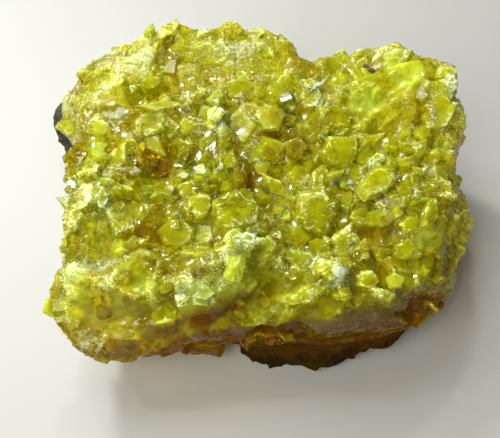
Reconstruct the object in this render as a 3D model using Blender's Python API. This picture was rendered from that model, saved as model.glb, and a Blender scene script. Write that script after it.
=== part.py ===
"""A hand specimen of native sulfur: one mass of yellow crystals on a slab of grey-brown host rock.

Metres, +Z up. The specimen lies on the rock's flat underside at z = 0, with the origin at the middle
of its footprint. X runs along its length and -Y is its front. The tables below are in millimetres,
taken from a point inside the specimen, and everything is moved over the origin at the end.
"""

import math
import random

import bmesh
import bpy
from mathutils import Euler, Matrix, Vector, noise

MM = 0.001
SEED = 16

# The flat contact between the sulfur and the rock, and the gap that parts the two solids there
CONTACT_HEIGHT = 10.0
CONTACT_GAP = 0.3

# The crown of the sulfur is a plane that rises towards the back, with the relief below added to it
CROWN_HEIGHT = 34.0
CROWN_RISE = 0.2

# Rings round the sulfur as (x, y, z) corners, counted anticlockwise: the shoulder where the crown
# meets the sides, the waist at half height, and the hem on the rock
SHOULDER = (
    (44, 4, 33), (47, 12.5, 34), (50.5, 20, 36), (50, 24, 37), (47.5, 31.5, 38), (41.5, 32.5, 40),
    (35, 34, 41), (25, 33.5, 41), (21.5, 31, 40), (10.5, 31.5, 41), (7.5, 36, 42), (0.5, 39.5, 42),
    (-22, 39.5, 42), (-30, 39, 40), (-36.7, 36.2, 38), (-42.3, 29.5, 34), (-44, 19, 33), (-44, 8, 34),
    (-42.5, -6.5, 35), (-42, -15, 34), (-42, -18.5, 32), (-45, -26, 28), (-44.5, -33, 24),
    (-40, -38, 20), (-32, -39.5, 18), (-24, -38.5, 18), (-19, -36, 20), (-9.5, -34, 23.5),
    (-1, -33, 24.5), (8.5, -33.5, 26), (16, -32.5, 26), (20, -31, 27), (29.5, -29, 27),
    (36, -24, 28), (40, -18, 30), (42, -6.5, 32),
)
WAIST = (
    (52.5, 5, 19), (49.5, 9.5, 21), (50.5, 20, 25), (48, 30, 26), (36, 36, 26), (10, 35, 27),
    (0, 40, 27), (-22, 40.5, 26), (-38, 38.5, 24), (-48, 38, 23), (-54.5, 35.5, 22), (-54, 30, 21),
    (-48.5, 21, 19), (-44.5, 11, 20), (-43.5, -6, 20), (-42, -17, 18), (-43, -28, 15),
    (-39, -33, 13.5), (-30, -35.5, 13), (-20, -34.5, 14), (-9, -33.5, 16), (9, -33, 17),
    (20, -32.5, 17), (32, -30.5, 17), (41, -26.5, 16), (46, -20, 16), (49, -14, 17), (51, -4, 18),
)
HEM = (
    (49, 5), (48, 18), (45, 29), (33, 33), (10, 33), (-20, 37), (-40, 36), (-52, 35), (-52, 29),
    (-48, 18), (-43, 5), (-41, -12), (-37, -24), (-28, -29), (-18, -32), (-9, -32), (9, -32),
    (22, -32), (33, -29), (41, -24), (46, -16), (49, -5),
)

# Rings round the rock: its upper edge, the knuckle below it, and the sole that it lies on
ROCK_EDGE = (
    (47, 5), (46, 18), (43, 28), (32, 32), (10, 32), (-20, 36.5), (-40, 37), (-56, 39),
    (-57, 31), (-50, 20), (-42, 4), (-38, -10), (-32, -16), (-24, -18), (-14, -19.5),
    (-5.5, -21), (-5, -31.5), (1, -33), (9, -33.5), (18, -33), (26, -31.5), (33, -29), (40, -23),
    (44, -14), (47, -5),
)
ROCK_KNUCKLE = (
    (45, 5, 5), (44, 18, 5), (40, 27, 5.5), (10, 31, 6), (-30, 35, 6), (-55, 38.5, 6.5),
    (-56.5, 30, 6.5), (-48, 18, 6), (-40, 4, 5), (-34, -12, 4.5), (-25, -16.5, 4.5), (-14, -19, 4),
    (-5.5, -20.5, 4), (-5, -32.5, 4), (3, -34, 4), (11, -34, 4), (19, -32.5, 4), (26, -31, 4.5),
    (34, -29, 5), (42, -14, 5),
)
ROCK_SOLE = (
    (41, 4), (38, 22), (10, 27), (-30, 31), (-47, 32), (-51, 26), (-43, 12), (-35, 0), (-30, -10),
    (-22, -15), (-12, -17.5), (-5.5, -19), (-4.5, -32), (3, -33.5), (11, -33.5), (18, -32),
    (25, -29.5), (31, -26.5), (38, -16), (40, -8),
)

# The horn of rock that stands beside the knob at the back left
HORN_MIDDLE = (-53.6, 33.2, 10.3)
HORN_SIZE = (9.0, 12.5, 19.8)
HORN_TURN = 19

# Relief of the crown: (x, y, half length, half width, turn in degrees, height)
CROWN_RELIEF = (
    (3, 3, 26, 16, 12, -5.5),  # the open hollow where the large crystals stand
    (-12.5, -14.5, 5, 4, 0, -2.5),  # pit at the foot of the front ridge
    (-24, 3, 6, 5, 20, -3.5),  # pit on the left
    (-21, 24, 7, 3, 10, -2.5),  # slot behind the left pit
    (-7.5, -23, 12, 4.5, 45, 5.0),  # front ridge, running forward and left
    (3, -26, 12, 3.8, 38, -6.0),  # gully between the front ridge and the front lobe
    (13, -25, 11, 6, 14, 3.8),  # front lobe
    (-33, -18, 13, 3, 2, -2.0),  # furrow that sets off the left corner
    (-31, -25.5, 16, 4, 3, 3.4),  # roll along the top of the left corner
    (-27, -31.5, 9, 2.5, -12, -2.4),  # crease below the roll
    (-38, 0, 16, 5, 86, 1.8),  # swelling along the left side
    (-10, 33, 22, 4, 0, 2.2),  # ridge along the back
    (-14, 28, 20, 2.5, 4, -1.4),  # furrow in front of it
    (-6, 22.5, 16, 3, 8, 1.4),  # second ridge
    (33, 25, 13, 8, 10, 2.8),  # lump in the back right corner
    (13, 30, 4, 5, 0, -3.0),  # notch in the back edge
    (40, 8, 5, 9, 8, 1.8),  # rim on the right
    (36, -16, 7, 10, 30, 1.5),  # shoulder at the front right
)
SHOULDER_ROUNDING = 7

# Broken faces of the surface, from broad to small: (width of a face, step between two, slant of one)
SULFUR_FACES = ((13.0, 1.0, 0.16), (7.0, 0.7, 0.24))
ROCK_FACES = ((12.0, 1.2, 0.2), (6.0, 0.7, 0.25))

# How far the outlines wander in and out, and how many times in a radian
CRINKLE_DEPTH = 1.1
CRINKLE_RATE = 5.0

# Angular blocks that stand out of the walls, the rim and the rock. A block is a hull round points
# strewn on an ellipsoid of these proportions, its size is its long axis, and its sink, a share of its
# size, is how far its middle lies under the surface. Rise and reach are shares of a wall
BLOCK_POINTS = 14
BLOCK_SHAPE = (1.0, 0.8, 0.62)
WALL_BLOCKS = 30
WALL_BLOCK_SIZE = (8.0, 13.0)
WALL_BLOCK_RISE = (0.2, 0.8)
WALL_BLOCK_SINK = 0.26
RIM_BLOCKS = 20
RIM_BLOCK_SIZE = (7.0, 11.0)
RIM_BLOCK_REACH = (0.8, 0.95)
RIM_BLOCK_SINK = 0.22
ROCK_BLOCKS = 18
ROCK_BLOCK_SIZE = (7.0, 11.0)
ROCK_BLOCK_FLATNESS = 0.8
ROCK_BLOCK_SINK = 0.36

# Blocks of sulfur that hang past the contact at the front left, where the rock stands back from it
HANGING_BLOCKS = ((-21, -29.5, 9, 10), (-16, -31, 7, 9.5), (-11, -31.5, 6.5, 9), (-25, -28, 11, 9))

# Large crystals: (x, y, length, width, sink below the crown, tilt x, tilt y, turn)
LARGE_CRYSTALS = (
    (-5.2, -6.6, 13.5, 12.5, -0.6, 62, 10, 20),
    (12.9, -7.1, 12.5, 11.0, -0.8, 40, 8, 75),
    (-18.4, -12.7, 9.5, 8.0, 0.6, 70, 20, -35),
    (20.0, 15.7, 6.5, 5.5, 0.2, 18, 8, 10),
    (19.5, 7.4, 9.5, 7.0, 0.5, 55, 15, 40),
    (2.8, 16.7, 8.0, 7.5, 0.8, 25, -12, 95),
    (9.0, 9.4, 7.5, 6.5, 0.8, 80, 0, 60),
    (3.3, 8.4, 8.0, 6.0, 0.6, 60, 30, -50),
    (27.0, -2.6, 9.5, 7.0, 0.4, 72, 0, -48),
    (33.5, -3.5, 6.0, 5.0, 0.2, 35, 20, 15),
    (27.1, -9.8, 7.0, 6.0, 0.3, 50, -10, 30),
    (31.6, -9.1, 5.0, 3.6, 0.0, 8, -5, 45),
    (19.7, -15.6, 8.0, 5.0, 0.2, 78, 0, 88),
    (14.2, -15.4, 6.0, 5.5, 0.6, 12, 6, 45),
    (9.2, -22.2, 10.5, 7.0, 1.2, 84, 4, -74),
    (16.8, -23.5, 7.5, 6.5, 0.6, 60, -20, 20),
    (-24.7, 9.0, 8.0, 4.5, 0.4, 80, 10, -70),
    (-10.6, 13.9, 5.0, 4.5, 0.2, 30, 20, 30),
    (13.4, 23.5, 6.5, 5.5, 0.4, 40, 20, 60),
    (38.8, 10.2, 5.0, 4.5, 0.2, 20, 0, 15),
    (44.7, 16.9, 8.0, 7.0, 0.9, 45, 30, 30),
    (-19.7, -32.1, 8.5, 7.5, 0.6, 25, 10, 20),
)

# Smaller crystals strewn over the crown by a seeded draw, most of them in and round the hollow
SMALL_CRYSTALS = 58
SMALL_CRYSTAL_LENGTH = (4.0, 6.8)
STREWN_AREA = ((-40, 44), (-28, 34))
HOLLOW = (6, 2, 32, 20)
SHARE_OUTSIDE_HOLLOW = 0.3
LEAST_SPACING = 4.4

# Crystal form: (height, reach) of the rings of corners from the girdle to the tip, both as shares of
# the half length and the half width, and how far the girdle's narrow corners are cut back
CRYSTAL_RINGS = ((0.0, 1.0), (0.5, 0.66), (0.82, 0.3))
GIRDLE_NARROWNESS = 0.84
CORNER_CUT = 0.72
SMALL_CRYSTAL_WIDTH = 0.8
SMALL_CRYSTAL_SINK = 0.12

CHIP_PLACE = (26.8, 26.3)
CHIP_SIZE = (4.2, 1.7, 1.1)
CHIP_TURN = -38
CHIP_RISE = 0.7

SULFUR_SQUARES, SULFUR_ROWS = 24, 6
ROCK_SQUARES, ROCK_ROWS = 16, 3


def clear_scene():
    for obj in list(bpy.data.objects):
        bpy.data.objects.remove(obj)


def collection(name):
    made = bpy.data.collections.new(name)
    bpy.context.scene.collection.children.link(made)
    return made


def material(name, colour, roughness):
    """A Principled finish. Nothing on the specimen is metal."""
    made = bpy.data.materials.new(name)
    made.use_nodes = True
    finish = made.node_tree.nodes["Principled BSDF"]
    finish.inputs["Base Color"].default_value = (*colour, 1.0)
    finish.inputs["Roughness"].default_value = roughness
    finish.inputs["Metallic"].default_value = 0.0
    return made


def place(name, bm, into, finish=None):
    """Turns a bmesh drawn in millimetres into an object in metres, inside a collection."""
    bmesh.ops.recalc_face_normals(bm, faces=bm.faces)
    bmesh.ops.scale(bm, vec=(MM, MM, MM), verts=bm.verts)
    mesh = bpy.data.meshes.new(name)
    bm.to_mesh(mesh)
    bm.free()
    obj = bpy.data.objects.new(name, mesh)
    if finish:
        mesh.materials.append(finish)
    else:
        obj.hide_render = True
        obj.display_type = "WIRE"
    into.objects.link(obj)
    return obj


def ring_at(ring, angle):
    """(radius, height) of a ring of corners in the direction of an angle."""
    corners = sorted((math.atan2(c[1], c[0]), math.hypot(c[0], c[1]), *c[2:]) for c in ring)
    later = [i for i, corner in enumerate(corners) if corner[0] >= angle]
    i = later[0] if later else 0
    after, before = corners[i], corners[i - 1]
    share = ((angle - before[0]) % math.tau) / ((after[0] - before[0]) % math.tau)
    return [b + (a - b) * share for a, b in zip(after[1:], before[1:])]


def outline(ring, angle, reach=math.radians(2.5)):
    """ring_at, averaged a little way to each side to round its corners, and crinkled."""
    turns = [(angle + step * reach + math.pi) % math.tau - math.pi for step in (-1, 0, 1)]
    found = [ring_at(ring, turn) for turn in turns]
    radius, *height = [sum(values) / len(turns) for values in zip(*found)]
    way = Vector((math.cos(angle), math.sin(angle), 0))
    return [radius + CRINKLE_DEPTH * noise.noise(way * CRINKLE_RATE + Vector((SEED, 0, 0))), *height]


def through(low, middle, high, share):
    """The parabola through three values at shares 0, 0.5 and 1."""
    return (
        low * (1 - share) * (1 - 2 * share)
        + middle * 4 * share * (1 - share)
        + high * share * (2 * share - 1)
    )


def broken_faces(point, layers):
    """How far a face of broken crystal stands out at a point: each cell has its own step and slant."""
    total = 0.0
    for width, step, slant in layers:
        seed = noise.voronoi(point / width)[1][0]
        lean = 2 * noise.cell_vector(seed * 97 + Vector((SEED, 0, 0))) - Vector((1, 1, 1))
        total += step * lean.z + slant * lean.dot(point - seed * width)
    return total


def relief(x, y):
    total = 0.0
    for cx, cy, length, width, turn, height in CROWN_RELIEF:
        along, across = Matrix.Rotation(-math.radians(turn), 2) @ Vector((x - cx, y - cy))
        total += height * math.exp(-((along / length) ** 2) - (across / width) ** 2)
    return total


def crown_height(x, y):
    """Height of the sulfur's top at a place, with its relief and its rounded shoulder."""
    radius, shoulder = outline(SHOULDER, math.atan2(y, x))
    at_shoulder = min(1.0, math.hypot(x, y) / radius) ** SHOULDER_ROUNDING
    crown = CROWN_HEIGHT + CROWN_RISE * y + relief(x, y)
    rough = broken_faces(Vector((x, y, 0)), SULFUR_FACES)
    return crown + (shoulder - crown) * at_shoulder + rough


def wall_point(low_ring, low, middle_ring, high_ring, angle, rise, high=None):
    """A point on a wall led through three rings, at a share of the way up it."""
    low_radius = outline(low_ring, angle)[0]
    middle_radius, middle = outline(middle_ring, angle)
    high_radius, *high_height = outline(high_ring, angle)
    radius = through(low_radius, middle_radius, high_radius, rise)
    height = through(low, middle, high_height[0] if high_height else high, rise)
    return Vector((radius * math.cos(angle), radius * math.sin(angle), height))


def sulfur_wall(angle, rise):
    return wall_point(HEM, CONTACT_HEIGHT + CONTACT_GAP, WAIST, SHOULDER, angle, rise)


def rock_wall(angle, rise):
    return wall_point(ROCK_SOLE, 0.0, ROCK_KNUCKLE, ROCK_EDGE, angle, rise, high=CONTACT_HEIGHT)


def gridded_block(squares, rows):
    """A cube from -1 to 1 whose faces are cut into squares, with fewer rows up its sides."""
    bm = bmesh.new()
    bmesh.ops.create_cube(bm, size=2)
    level = [e for e in bm.edges if abs(e.verts[0].co.z - e.verts[1].co.z) < 1]
    bmesh.ops.subdivide_edges(bm, edges=level, cuts=squares - 1, use_grid_fill=True)
    upright = [e for e in bm.edges if abs(e.verts[0].co.z - e.verts[1].co.z) > 1]
    bmesh.ops.subdivide_edges(bm, edges=upright, cuts=rows - 1, use_grid_fill=True)
    return bm


def shape_block(bm, wall, faces, top=None):
    """Leads a gridded cube's squares out to a wall, breaks the wall's faces, and lifts its top."""
    for vert in bm.verts:
        u, v, w = vert.co
        angle, reach, rise = math.atan2(v, u), max(abs(u), abs(v)), (w + 1) / 2
        spot = wall(angle, rise)
        if abs(w) < 0.999:
            spot += Vector((*spot.xy.normalized(), 0)) * broken_faces(spot, faces)
        spot.xy *= reach
        if w > 0.999 and top:
            spot.z = top(spot.x, spot.y)
        vert.co = spot


def flatten_into_one_face(bm, level):
    """Merges the squares of a flat end into one face."""
    flat = [f for f in bm.faces if all(abs(v.co.z - level) < 1e-4 for v in f.verts)]
    bmesh.ops.dissolve_faces(bm, faces=flat)


def hull(points):
    """The convex solid round some points, with its flat faces merged."""
    bm = bmesh.new()
    for point in points:
        bm.verts.new(point)
    made = bmesh.ops.convex_hull(bm, input=bm.verts)
    inside = {g for g in made["geom_interior"] if isinstance(g, bmesh.types.BMVert)}
    bmesh.ops.delete(bm, geom=list(inside), context="VERTS")
    bmesh.ops.dissolve_limit(bm, angle_limit=math.radians(1), verts=bm.verts, edges=bm.edges)
    return bm


def add_turned(name, bm, spot, tilts, into):
    """Turns a solid by three angles in degrees, moves it to its spot and places it as a helper."""
    turned = Euler([math.radians(t) for t in tilts], "XYZ").to_matrix().to_4x4()
    bmesh.ops.transform(bm, matrix=Matrix.Translation(spot) @ turned, verts=bm.verts)
    return place(name, bm, into)


def angular_block(size, rng, flatness=1.0):
    rays = [Vector([rng.gauss(0, 1) for _ in range(3)]).normalized() for _ in range(BLOCK_POINTS)]
    length, width, height = (share * size / 2 for share in BLOCK_SHAPE)
    return hull([(r.x * length, r.y * width, r.z * height * flatness) for r in rays])


def dipyramid(length, width, rng):
    """A sulfur crystal: a six-cornered girdle between two stepped, blunt pyramids."""
    corners = []
    cut = CORNER_CUT * rng.uniform(0.85, 1.15)
    for height, reach in CRYSTAL_RINGS:
        a = width / 2 * reach
        b = a * GIRDLE_NARROWNESS
        outer = [(a, 0), (-a, 0)]
        outer += [(x * a * (1 - cut), y * b * cut) for x in (1, -1) for y in (1, -1)]
        corners += [(*corner, side * length / 2 * height) for corner in outer for side in (1, -1)]
    return hull(corners)


def random_tilts(rng):
    return [rng.uniform(0, 360) for _ in range(3)]


def add_wall_blocks(into):
    """Blocks that break up the walls, kept clear of the rock below."""
    rng = random.Random(SEED + 1)
    for i in range(WALL_BLOCKS):
        size = rng.uniform(*WALL_BLOCK_SIZE)
        angle = math.tau * (i + rng.uniform(0, 1)) / WALL_BLOCKS - math.pi
        spot = sulfur_wall(angle, rng.uniform(*WALL_BLOCK_RISE))
        spot.xy -= spot.xy.normalized() * size * WALL_BLOCK_SINK
        spot.z = max(spot.z, CONTACT_HEIGHT + 2 * CONTACT_GAP + size / 2)
        add_turned(f"wall_block_{i:02d}", angular_block(size, rng), spot, random_tilts(rng), into)


def add_rim_blocks(into):
    """Blocks along the shoulder, which make its edge a broken one."""
    rng = random.Random(SEED + 2)
    for i in range(RIM_BLOCKS):
        size = rng.uniform(*RIM_BLOCK_SIZE)
        angle = math.tau * (i + rng.uniform(0, 1)) / RIM_BLOCKS - math.pi
        spot = sulfur_wall(angle, 1.0) * rng.uniform(*RIM_BLOCK_REACH)
        spot.z = crown_height(spot.x, spot.y) - size * RIM_BLOCK_SINK
        add_turned(f"rim_block_{i:02d}", angular_block(size, rng), spot, random_tilts(rng), into)


def add_hanging_blocks(into):
    rng = random.Random(SEED + 3)
    for i, (x, y, z, size) in enumerate(HANGING_BLOCKS):
        block = angular_block(size, rng)
        add_turned(f"hanging_block_{i}", block, Vector((x, y, z)), random_tilts(rng), into)


def add_crystals(into):
    """The crystals that stand on the crown, sunk into it far enough to be one with it."""
    rng = random.Random(SEED)
    taken = []
    for i, (x, y, length, width, sink, *tilts) in enumerate(LARGE_CRYSTALS):
        spot = Vector((x, y, crown_height(x, y) - sink))
        add_turned(f"large_crystal_{i:02d}", dipyramid(length, width, rng), spot, tilts, into)
        taken.append(Vector((x, y)))
    (west, east), (front, back) = STREWN_AREA
    middle_x, middle_y, half_length, half_width = HOLLOW
    while len(taken) < len(LARGE_CRYSTALS) + SMALL_CRYSTALS:
        here = Vector((rng.uniform(west, east), rng.uniform(front, back)))
        length = rng.uniform(*SMALL_CRYSTAL_LENGTH)
        tilts = random_tilts(rng)
        off_middle = ((here.x - middle_x) / half_length) ** 2 + ((here.y - middle_y) / half_width) ** 2
        kept = off_middle < 1 or rng.random() < SHARE_OUTSIDE_HOLLOW
        inside = here.length < 0.93 * outline(SHOULDER, math.atan2(here.y, here.x))[0]
        if kept and inside and all((here - other).length > LEAST_SPACING for other in taken):
            spot = Vector((*here, crown_height(*here) - length * SMALL_CRYSTAL_SINK))
            crystal = dipyramid(length, length * SMALL_CRYSTAL_WIDTH, rng)
            add_turned(f"small_crystal_{len(taken):02d}", crystal, spot, tilts, into)
            taken.append(here)


def add_rock_blocks(into):
    """Flat blocks round the rock's edge, between its top and its sole."""
    rng = random.Random(SEED + 4)
    for i in range(ROCK_BLOCKS):
        size = rng.uniform(*ROCK_BLOCK_SIZE)
        angle = math.tau * (i + rng.uniform(0, 1)) / ROCK_BLOCKS - math.pi
        spot = rock_wall(angle, 0.5)
        spot.xy -= spot.xy.normalized() * size * ROCK_BLOCK_SINK
        block = angular_block(size, rng, ROCK_BLOCK_FLATNESS)
        add_turned(f"rock_block_{i:02d}", block, spot, (0, 0, rng.uniform(0, 360)), into)


def combine(body, others, operation):
    """Joins a collection of solids to a body as one solid, or cuts them out of it."""
    combined = body.modifiers.new(operation.lower(), "BOOLEAN")
    combined.operation = operation
    combined.operand_type = "COLLECTION"
    combined.collection = others
    combined.solver = "EXACT"


def add_horn(name, into, growth):
    """The tall block at the back left end of the rock, grown on every side by so much."""
    bm = angular_block(1, random.Random(SEED + 5))
    low, high = [[pick(v.co[i] for v in bm.verts) for i in range(3)] for pick in (min, max)]
    for vert in bm.verts:
        spread = zip(vert.co, low, high, HORN_SIZE)
        vert.co = [((c - a) / (b - a) - 0.5) * (size + 2 * growth) for c, a, b, size in spread]
    add_turned(name, bm, Vector(HORN_MIDDLE), (0, 0, HORN_TURN), into)


def build_sulfur(into, finish):
    """The crystal mass, with its blocks and crystals grown together with it."""
    bm = gridded_block(SULFUR_SQUARES, SULFUR_ROWS)
    shape_block(bm, sulfur_wall, SULFUR_FACES, top=crown_height)
    flatten_into_one_face(bm, CONTACT_HEIGHT + CONTACT_GAP)
    mass = place("sulfur_mass", bm, into, finish)
    additions = collection("crystals_and_blocks_of_the_mass")
    add_wall_blocks(additions)
    add_rim_blocks(additions)
    add_hanging_blocks(additions)
    add_crystals(additions)
    combine(mass, additions, "UNION")
    notch = collection("notch_for_the_horn")
    add_horn("horn_notch", notch, CONTACT_GAP)
    combine(mass, notch, "DIFFERENCE")
    return mass


def build_rock(into, finish):
    """The slab of host rock, with a broken edge, a flat top under the sulfur and a flat sole."""
    bm = gridded_block(ROCK_SQUARES, ROCK_ROWS)
    shape_block(bm, rock_wall, ROCK_FACES)
    flatten_into_one_face(bm, 0.0)
    flatten_into_one_face(bm, CONTACT_HEIGHT)
    rock = place("host_rock", bm, into, finish)
    additions = collection("blocks_of_the_rock")
    add_rock_blocks(additions)
    add_horn("horn", additions, 0.0)
    combine(rock, additions, "UNION")
    return rock


def build_chip(into, finish):
    """A splinter of dark rock that lies on the lump in the back right corner."""
    rng = random.Random(SEED)
    bm = bmesh.new()
    bmesh.ops.create_icosphere(bm, subdivisions=1, radius=0.5)
    for vert in bm.verts:
        vert.co *= rng.uniform(0.75, 1.1)
    bmesh.ops.scale(bm, vec=CHIP_SIZE, verts=bm.verts)
    x, y = CHIP_PLACE
    lowest = min(v.co.z for v in bm.verts)
    spot = Vector((x, y, crown_height(x, y) + CHIP_RISE - lowest))
    turned = Matrix.Rotation(math.radians(CHIP_TURN), 4, "Z")
    bmesh.ops.transform(bm, matrix=Matrix.Translation(spot) @ turned, verts=bm.verts)
    return place("dark_chip", bm, into, finish)


def move_over_origin(parts):
    """Moves every object so that the middle of the parts' footprint is over the origin."""
    bpy.context.view_layer.update()
    graph = bpy.context.evaluated_depsgraph_get()
    corners = [
        obj.matrix_world @ Vector(corner)
        for obj in parts
        for corner in obj.evaluated_get(graph).bound_box
    ]
    middle = [(min(c[i] for c in corners) + max(c[i] for c in corners)) / 2 for i in (0, 1)]
    for obj in bpy.data.objects:
        obj.location -= Vector((*middle, 0))


def main():
    clear_scene()
    specimen = collection("native_sulfur")
    yellow = material("sulfur_yellow", (0.62, 0.55, 0.03), 0.3)
    grey_brown = material("host_rock_brown", (0.16, 0.12, 0.07), 0.85)
    dark = material("chip_dark_brown", (0.07, 0.04, 0.02), 0.8)
    mass = build_sulfur(specimen, yellow)
    rock = build_rock(specimen, grey_brown)
    chip = build_chip(specimen, dark)
    move_over_origin([mass, rock, chip])


main()
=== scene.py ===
"""Dresses a hand specimen of native sulfur that has grown on a slab of host rock.

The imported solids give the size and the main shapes. The crystal mass is broken up finer than its solid,
named crystals stand in its hollow, smaller ones and a sugary grain cover it, and every finish is
procedural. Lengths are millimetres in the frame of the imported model, and only what goes straight into
Blender, such as the sizes in the panel and the places of the lights, is in metres.
"""

import itertools
import math
import random
from collections import namedtuple

import bmesh
import bpy
import numpy as np
from bpy.props import FloatProperty, FloatVectorProperty, IntProperty, PointerProperty
from mathutils import Matrix, Vector
from mathutils.bvhtree import BVHTree


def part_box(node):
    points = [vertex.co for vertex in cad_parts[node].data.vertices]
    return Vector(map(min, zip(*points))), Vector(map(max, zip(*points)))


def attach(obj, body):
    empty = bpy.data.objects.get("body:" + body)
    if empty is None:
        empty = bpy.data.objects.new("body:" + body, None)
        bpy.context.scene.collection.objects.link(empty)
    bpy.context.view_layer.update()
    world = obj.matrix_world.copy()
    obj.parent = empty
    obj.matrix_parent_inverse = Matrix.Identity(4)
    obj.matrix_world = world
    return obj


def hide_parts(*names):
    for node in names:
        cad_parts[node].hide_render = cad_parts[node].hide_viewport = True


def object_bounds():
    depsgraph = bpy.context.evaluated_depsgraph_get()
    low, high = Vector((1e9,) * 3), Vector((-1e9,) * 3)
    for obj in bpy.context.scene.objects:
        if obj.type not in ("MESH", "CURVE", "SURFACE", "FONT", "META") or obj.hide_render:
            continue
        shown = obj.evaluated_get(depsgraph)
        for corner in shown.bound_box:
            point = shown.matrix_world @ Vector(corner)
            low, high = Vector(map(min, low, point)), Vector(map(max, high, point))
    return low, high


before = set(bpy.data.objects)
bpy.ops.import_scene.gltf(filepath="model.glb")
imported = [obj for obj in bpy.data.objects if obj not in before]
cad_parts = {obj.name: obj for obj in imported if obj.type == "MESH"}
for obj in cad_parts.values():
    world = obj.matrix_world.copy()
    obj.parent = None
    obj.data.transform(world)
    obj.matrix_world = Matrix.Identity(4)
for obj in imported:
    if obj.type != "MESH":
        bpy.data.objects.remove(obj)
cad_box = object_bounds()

bl_info = {
    "name": "Native Sulfur Specimen",
    "version": (1, 0, 0),
    "blender": (4, 5, 0),
    "location": "3D View > Sidebar > Sulfur",
    "description": "Dresses a lump of native sulfur on its host rock",
    "category": "Object",
}

MM = 0.001
SEED = 16
BODY = "root"

# ---------------------------------------------------------------- how the sulfur and the rock break

# A surface breaks into grains of a size. A grain stands up to a step higher or lower, slants, and is
# bowled out like a shell. The salt gives each breakage its own grains.
Breakage = namedtuple("Breakage", "size step slant bowl salt")
BROAD_FACES = Breakage(size=6.2, step=0.5, slant=0.27, bowl=0.8, salt=3)
MIDDLE_FACES = Breakage(size=2.9, step=0.28, slant=0.34, bowl=0.3, salt=5)
SMALL_FACES = Breakage(size=1.3, step=0.1, slant=0.34, bowl=0.0, salt=7)
SUGARY_FLOW = Breakage(size=3.0, step=0.3, slant=0.3, bowl=0.4, salt=9)
CHIPPED_FACES = Breakage(size=2.4, step=0.03, slant=0.07, bowl=0.06, salt=21)
BROKEN_ROCK = Breakage(size=4.5, step=0.35, slant=0.14, bowl=0.5, salt=11)
ROCK_GRAIN = Breakage(size=1.8, step=0.12, slant=0.18, bowl=0.2, salt=13)

MIDDLE_STRETCH = (1, 1.2, 1)  # these two make grains finer along some axes
FLOW_STRETCH = (1, 2.0, 1.5)
BORDER_EASE = 0.05  # over this share of its size, a grain eases into the next
BOWL_LEVEL = 0.2  # the share of a bowl's depth that keeps the surface at its level
RELIEF_DEPTH = 0.35  # the mass's surface is sunk this far, so that its ridges stay inside the solid
SHARP_ANGLE = 20  # faces that meet at more degrees than this meet in a sharp edge
LEVEL = 0.9  # a sole or a flat top is at least this level, where 1 is fully so
FLAT_ROUGHNESS = 0.3  # how rough the rock's flat faces are against its broken ones
ROCK_STAIN = 0.25
ROCK_TOP = 10  # the height of the plane where sulfur and rock meet
NEAR = 1  # a face is at a height where it is this near to it

# The front wall is cut back below its overhanging lip, from the left end of the lip rightwards
UNDERCUT = 1.8
UNDERCUT_LEFT_END = -14

# Where a part of the surface starts and where it is full, along one axis
CROWN_STEEPNESS = (0.1, 0.6)
BELOW_LIP = (23, 20)
FRONT_HEIGHT = (30, 25)
FRONT_DEPTH = (-24, -29)
STAIN_AND_SHADE_RIGHTWARDS = (-24, -16)
RIGHT_WALL = (34, 42)
RIGHT_WALL_HEIGHT = (34, 24)
LEFT_WALL = (-30, -36)
LEFT_WALL_DEPTH = (6, 12)
FOOT = (14, 10)
STAINED_FOOT = (17, 12)
STAINED_ROCK_HEIGHT = (5, 11)
STAINED_ROCK = (-52, -49)
GREY_ROCK = (-46, -49)

# A hash of whole-number cells
HASH_PRIMES = (73856093, 19349663, 83492791, 2654435761)
HASH_FACTOR = 1274126177
LOW_BITS = 0xFFFFFFFF

# ---------------------------------------------------------------- crystals

# Each kind of crystal: how many corners its girdle may have, its flat top as a share of the girdle, and
# its thickness as a share of its half width
CrystalKind = namedtuple("CrystalKind", "corners top thickness")
CRYSTAL_KINDS = {
    "block": CrystalKind(corners=(5, 6, 7, 7), top=0.84, thickness=0.5),
    "plate": CrystalKind(corners=(4, 5, 6), top=0.82, thickness=0.34),
    "prism": CrystalKind(corners=(4,), top=0.8, thickness=0.8),
}
LUMP_CORNERS = 8

# How uneven a crystal is, as shares of an even one
CORNER_SHIFT = 0.28
CORNER_REACH = (0.8, 1.0)
GIRDLE_RISE = 0.18
TOP_SPREAD = (0.82, 1.1)
FLAT_ANGLE = 4  # faces that meet at fewer degrees than this are one face

NAMED_GROWTH = 1.28  # a named crystal's girdle against the flat top that its row gives
NAMED_SINK = 0.25
NAMED_ROOT = 0.6  # the share of its thickness that a named crystal stands in the mass
LEAN_SPREAD = 6  # in degrees, and the next as a slope
SIDE_LEAN = 0.22
PROBES = ((0, 0), (1, 0), (-1, 0), (0, 1), (0, -1))  # a crystal rests on the mean of these places
HIGH_ABOVE = 100

SMALLEST_CRYSTAL = 1.0
SMALLEST_GRAIN = 0.16
SIZE_BIAS = 1.8  # a power that leaves most strewn crystals small
CROWDING = 1.8  # a power that crowds the sugary grain where it is likeliest
STREWN_SHAPE = ((0.8, 0.6, 0.4), (1.15, 0.95, 0.6))  # the least and the most of each side, as shares
HOLLOW = (8, 0, 30, 17)  # where medium crystals crowd: x, y, half length, half width
CRYSTALS_END = 44  # no medium crystal stands further right than this
CRYSTALS_START = 19  # or lower than this

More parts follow.
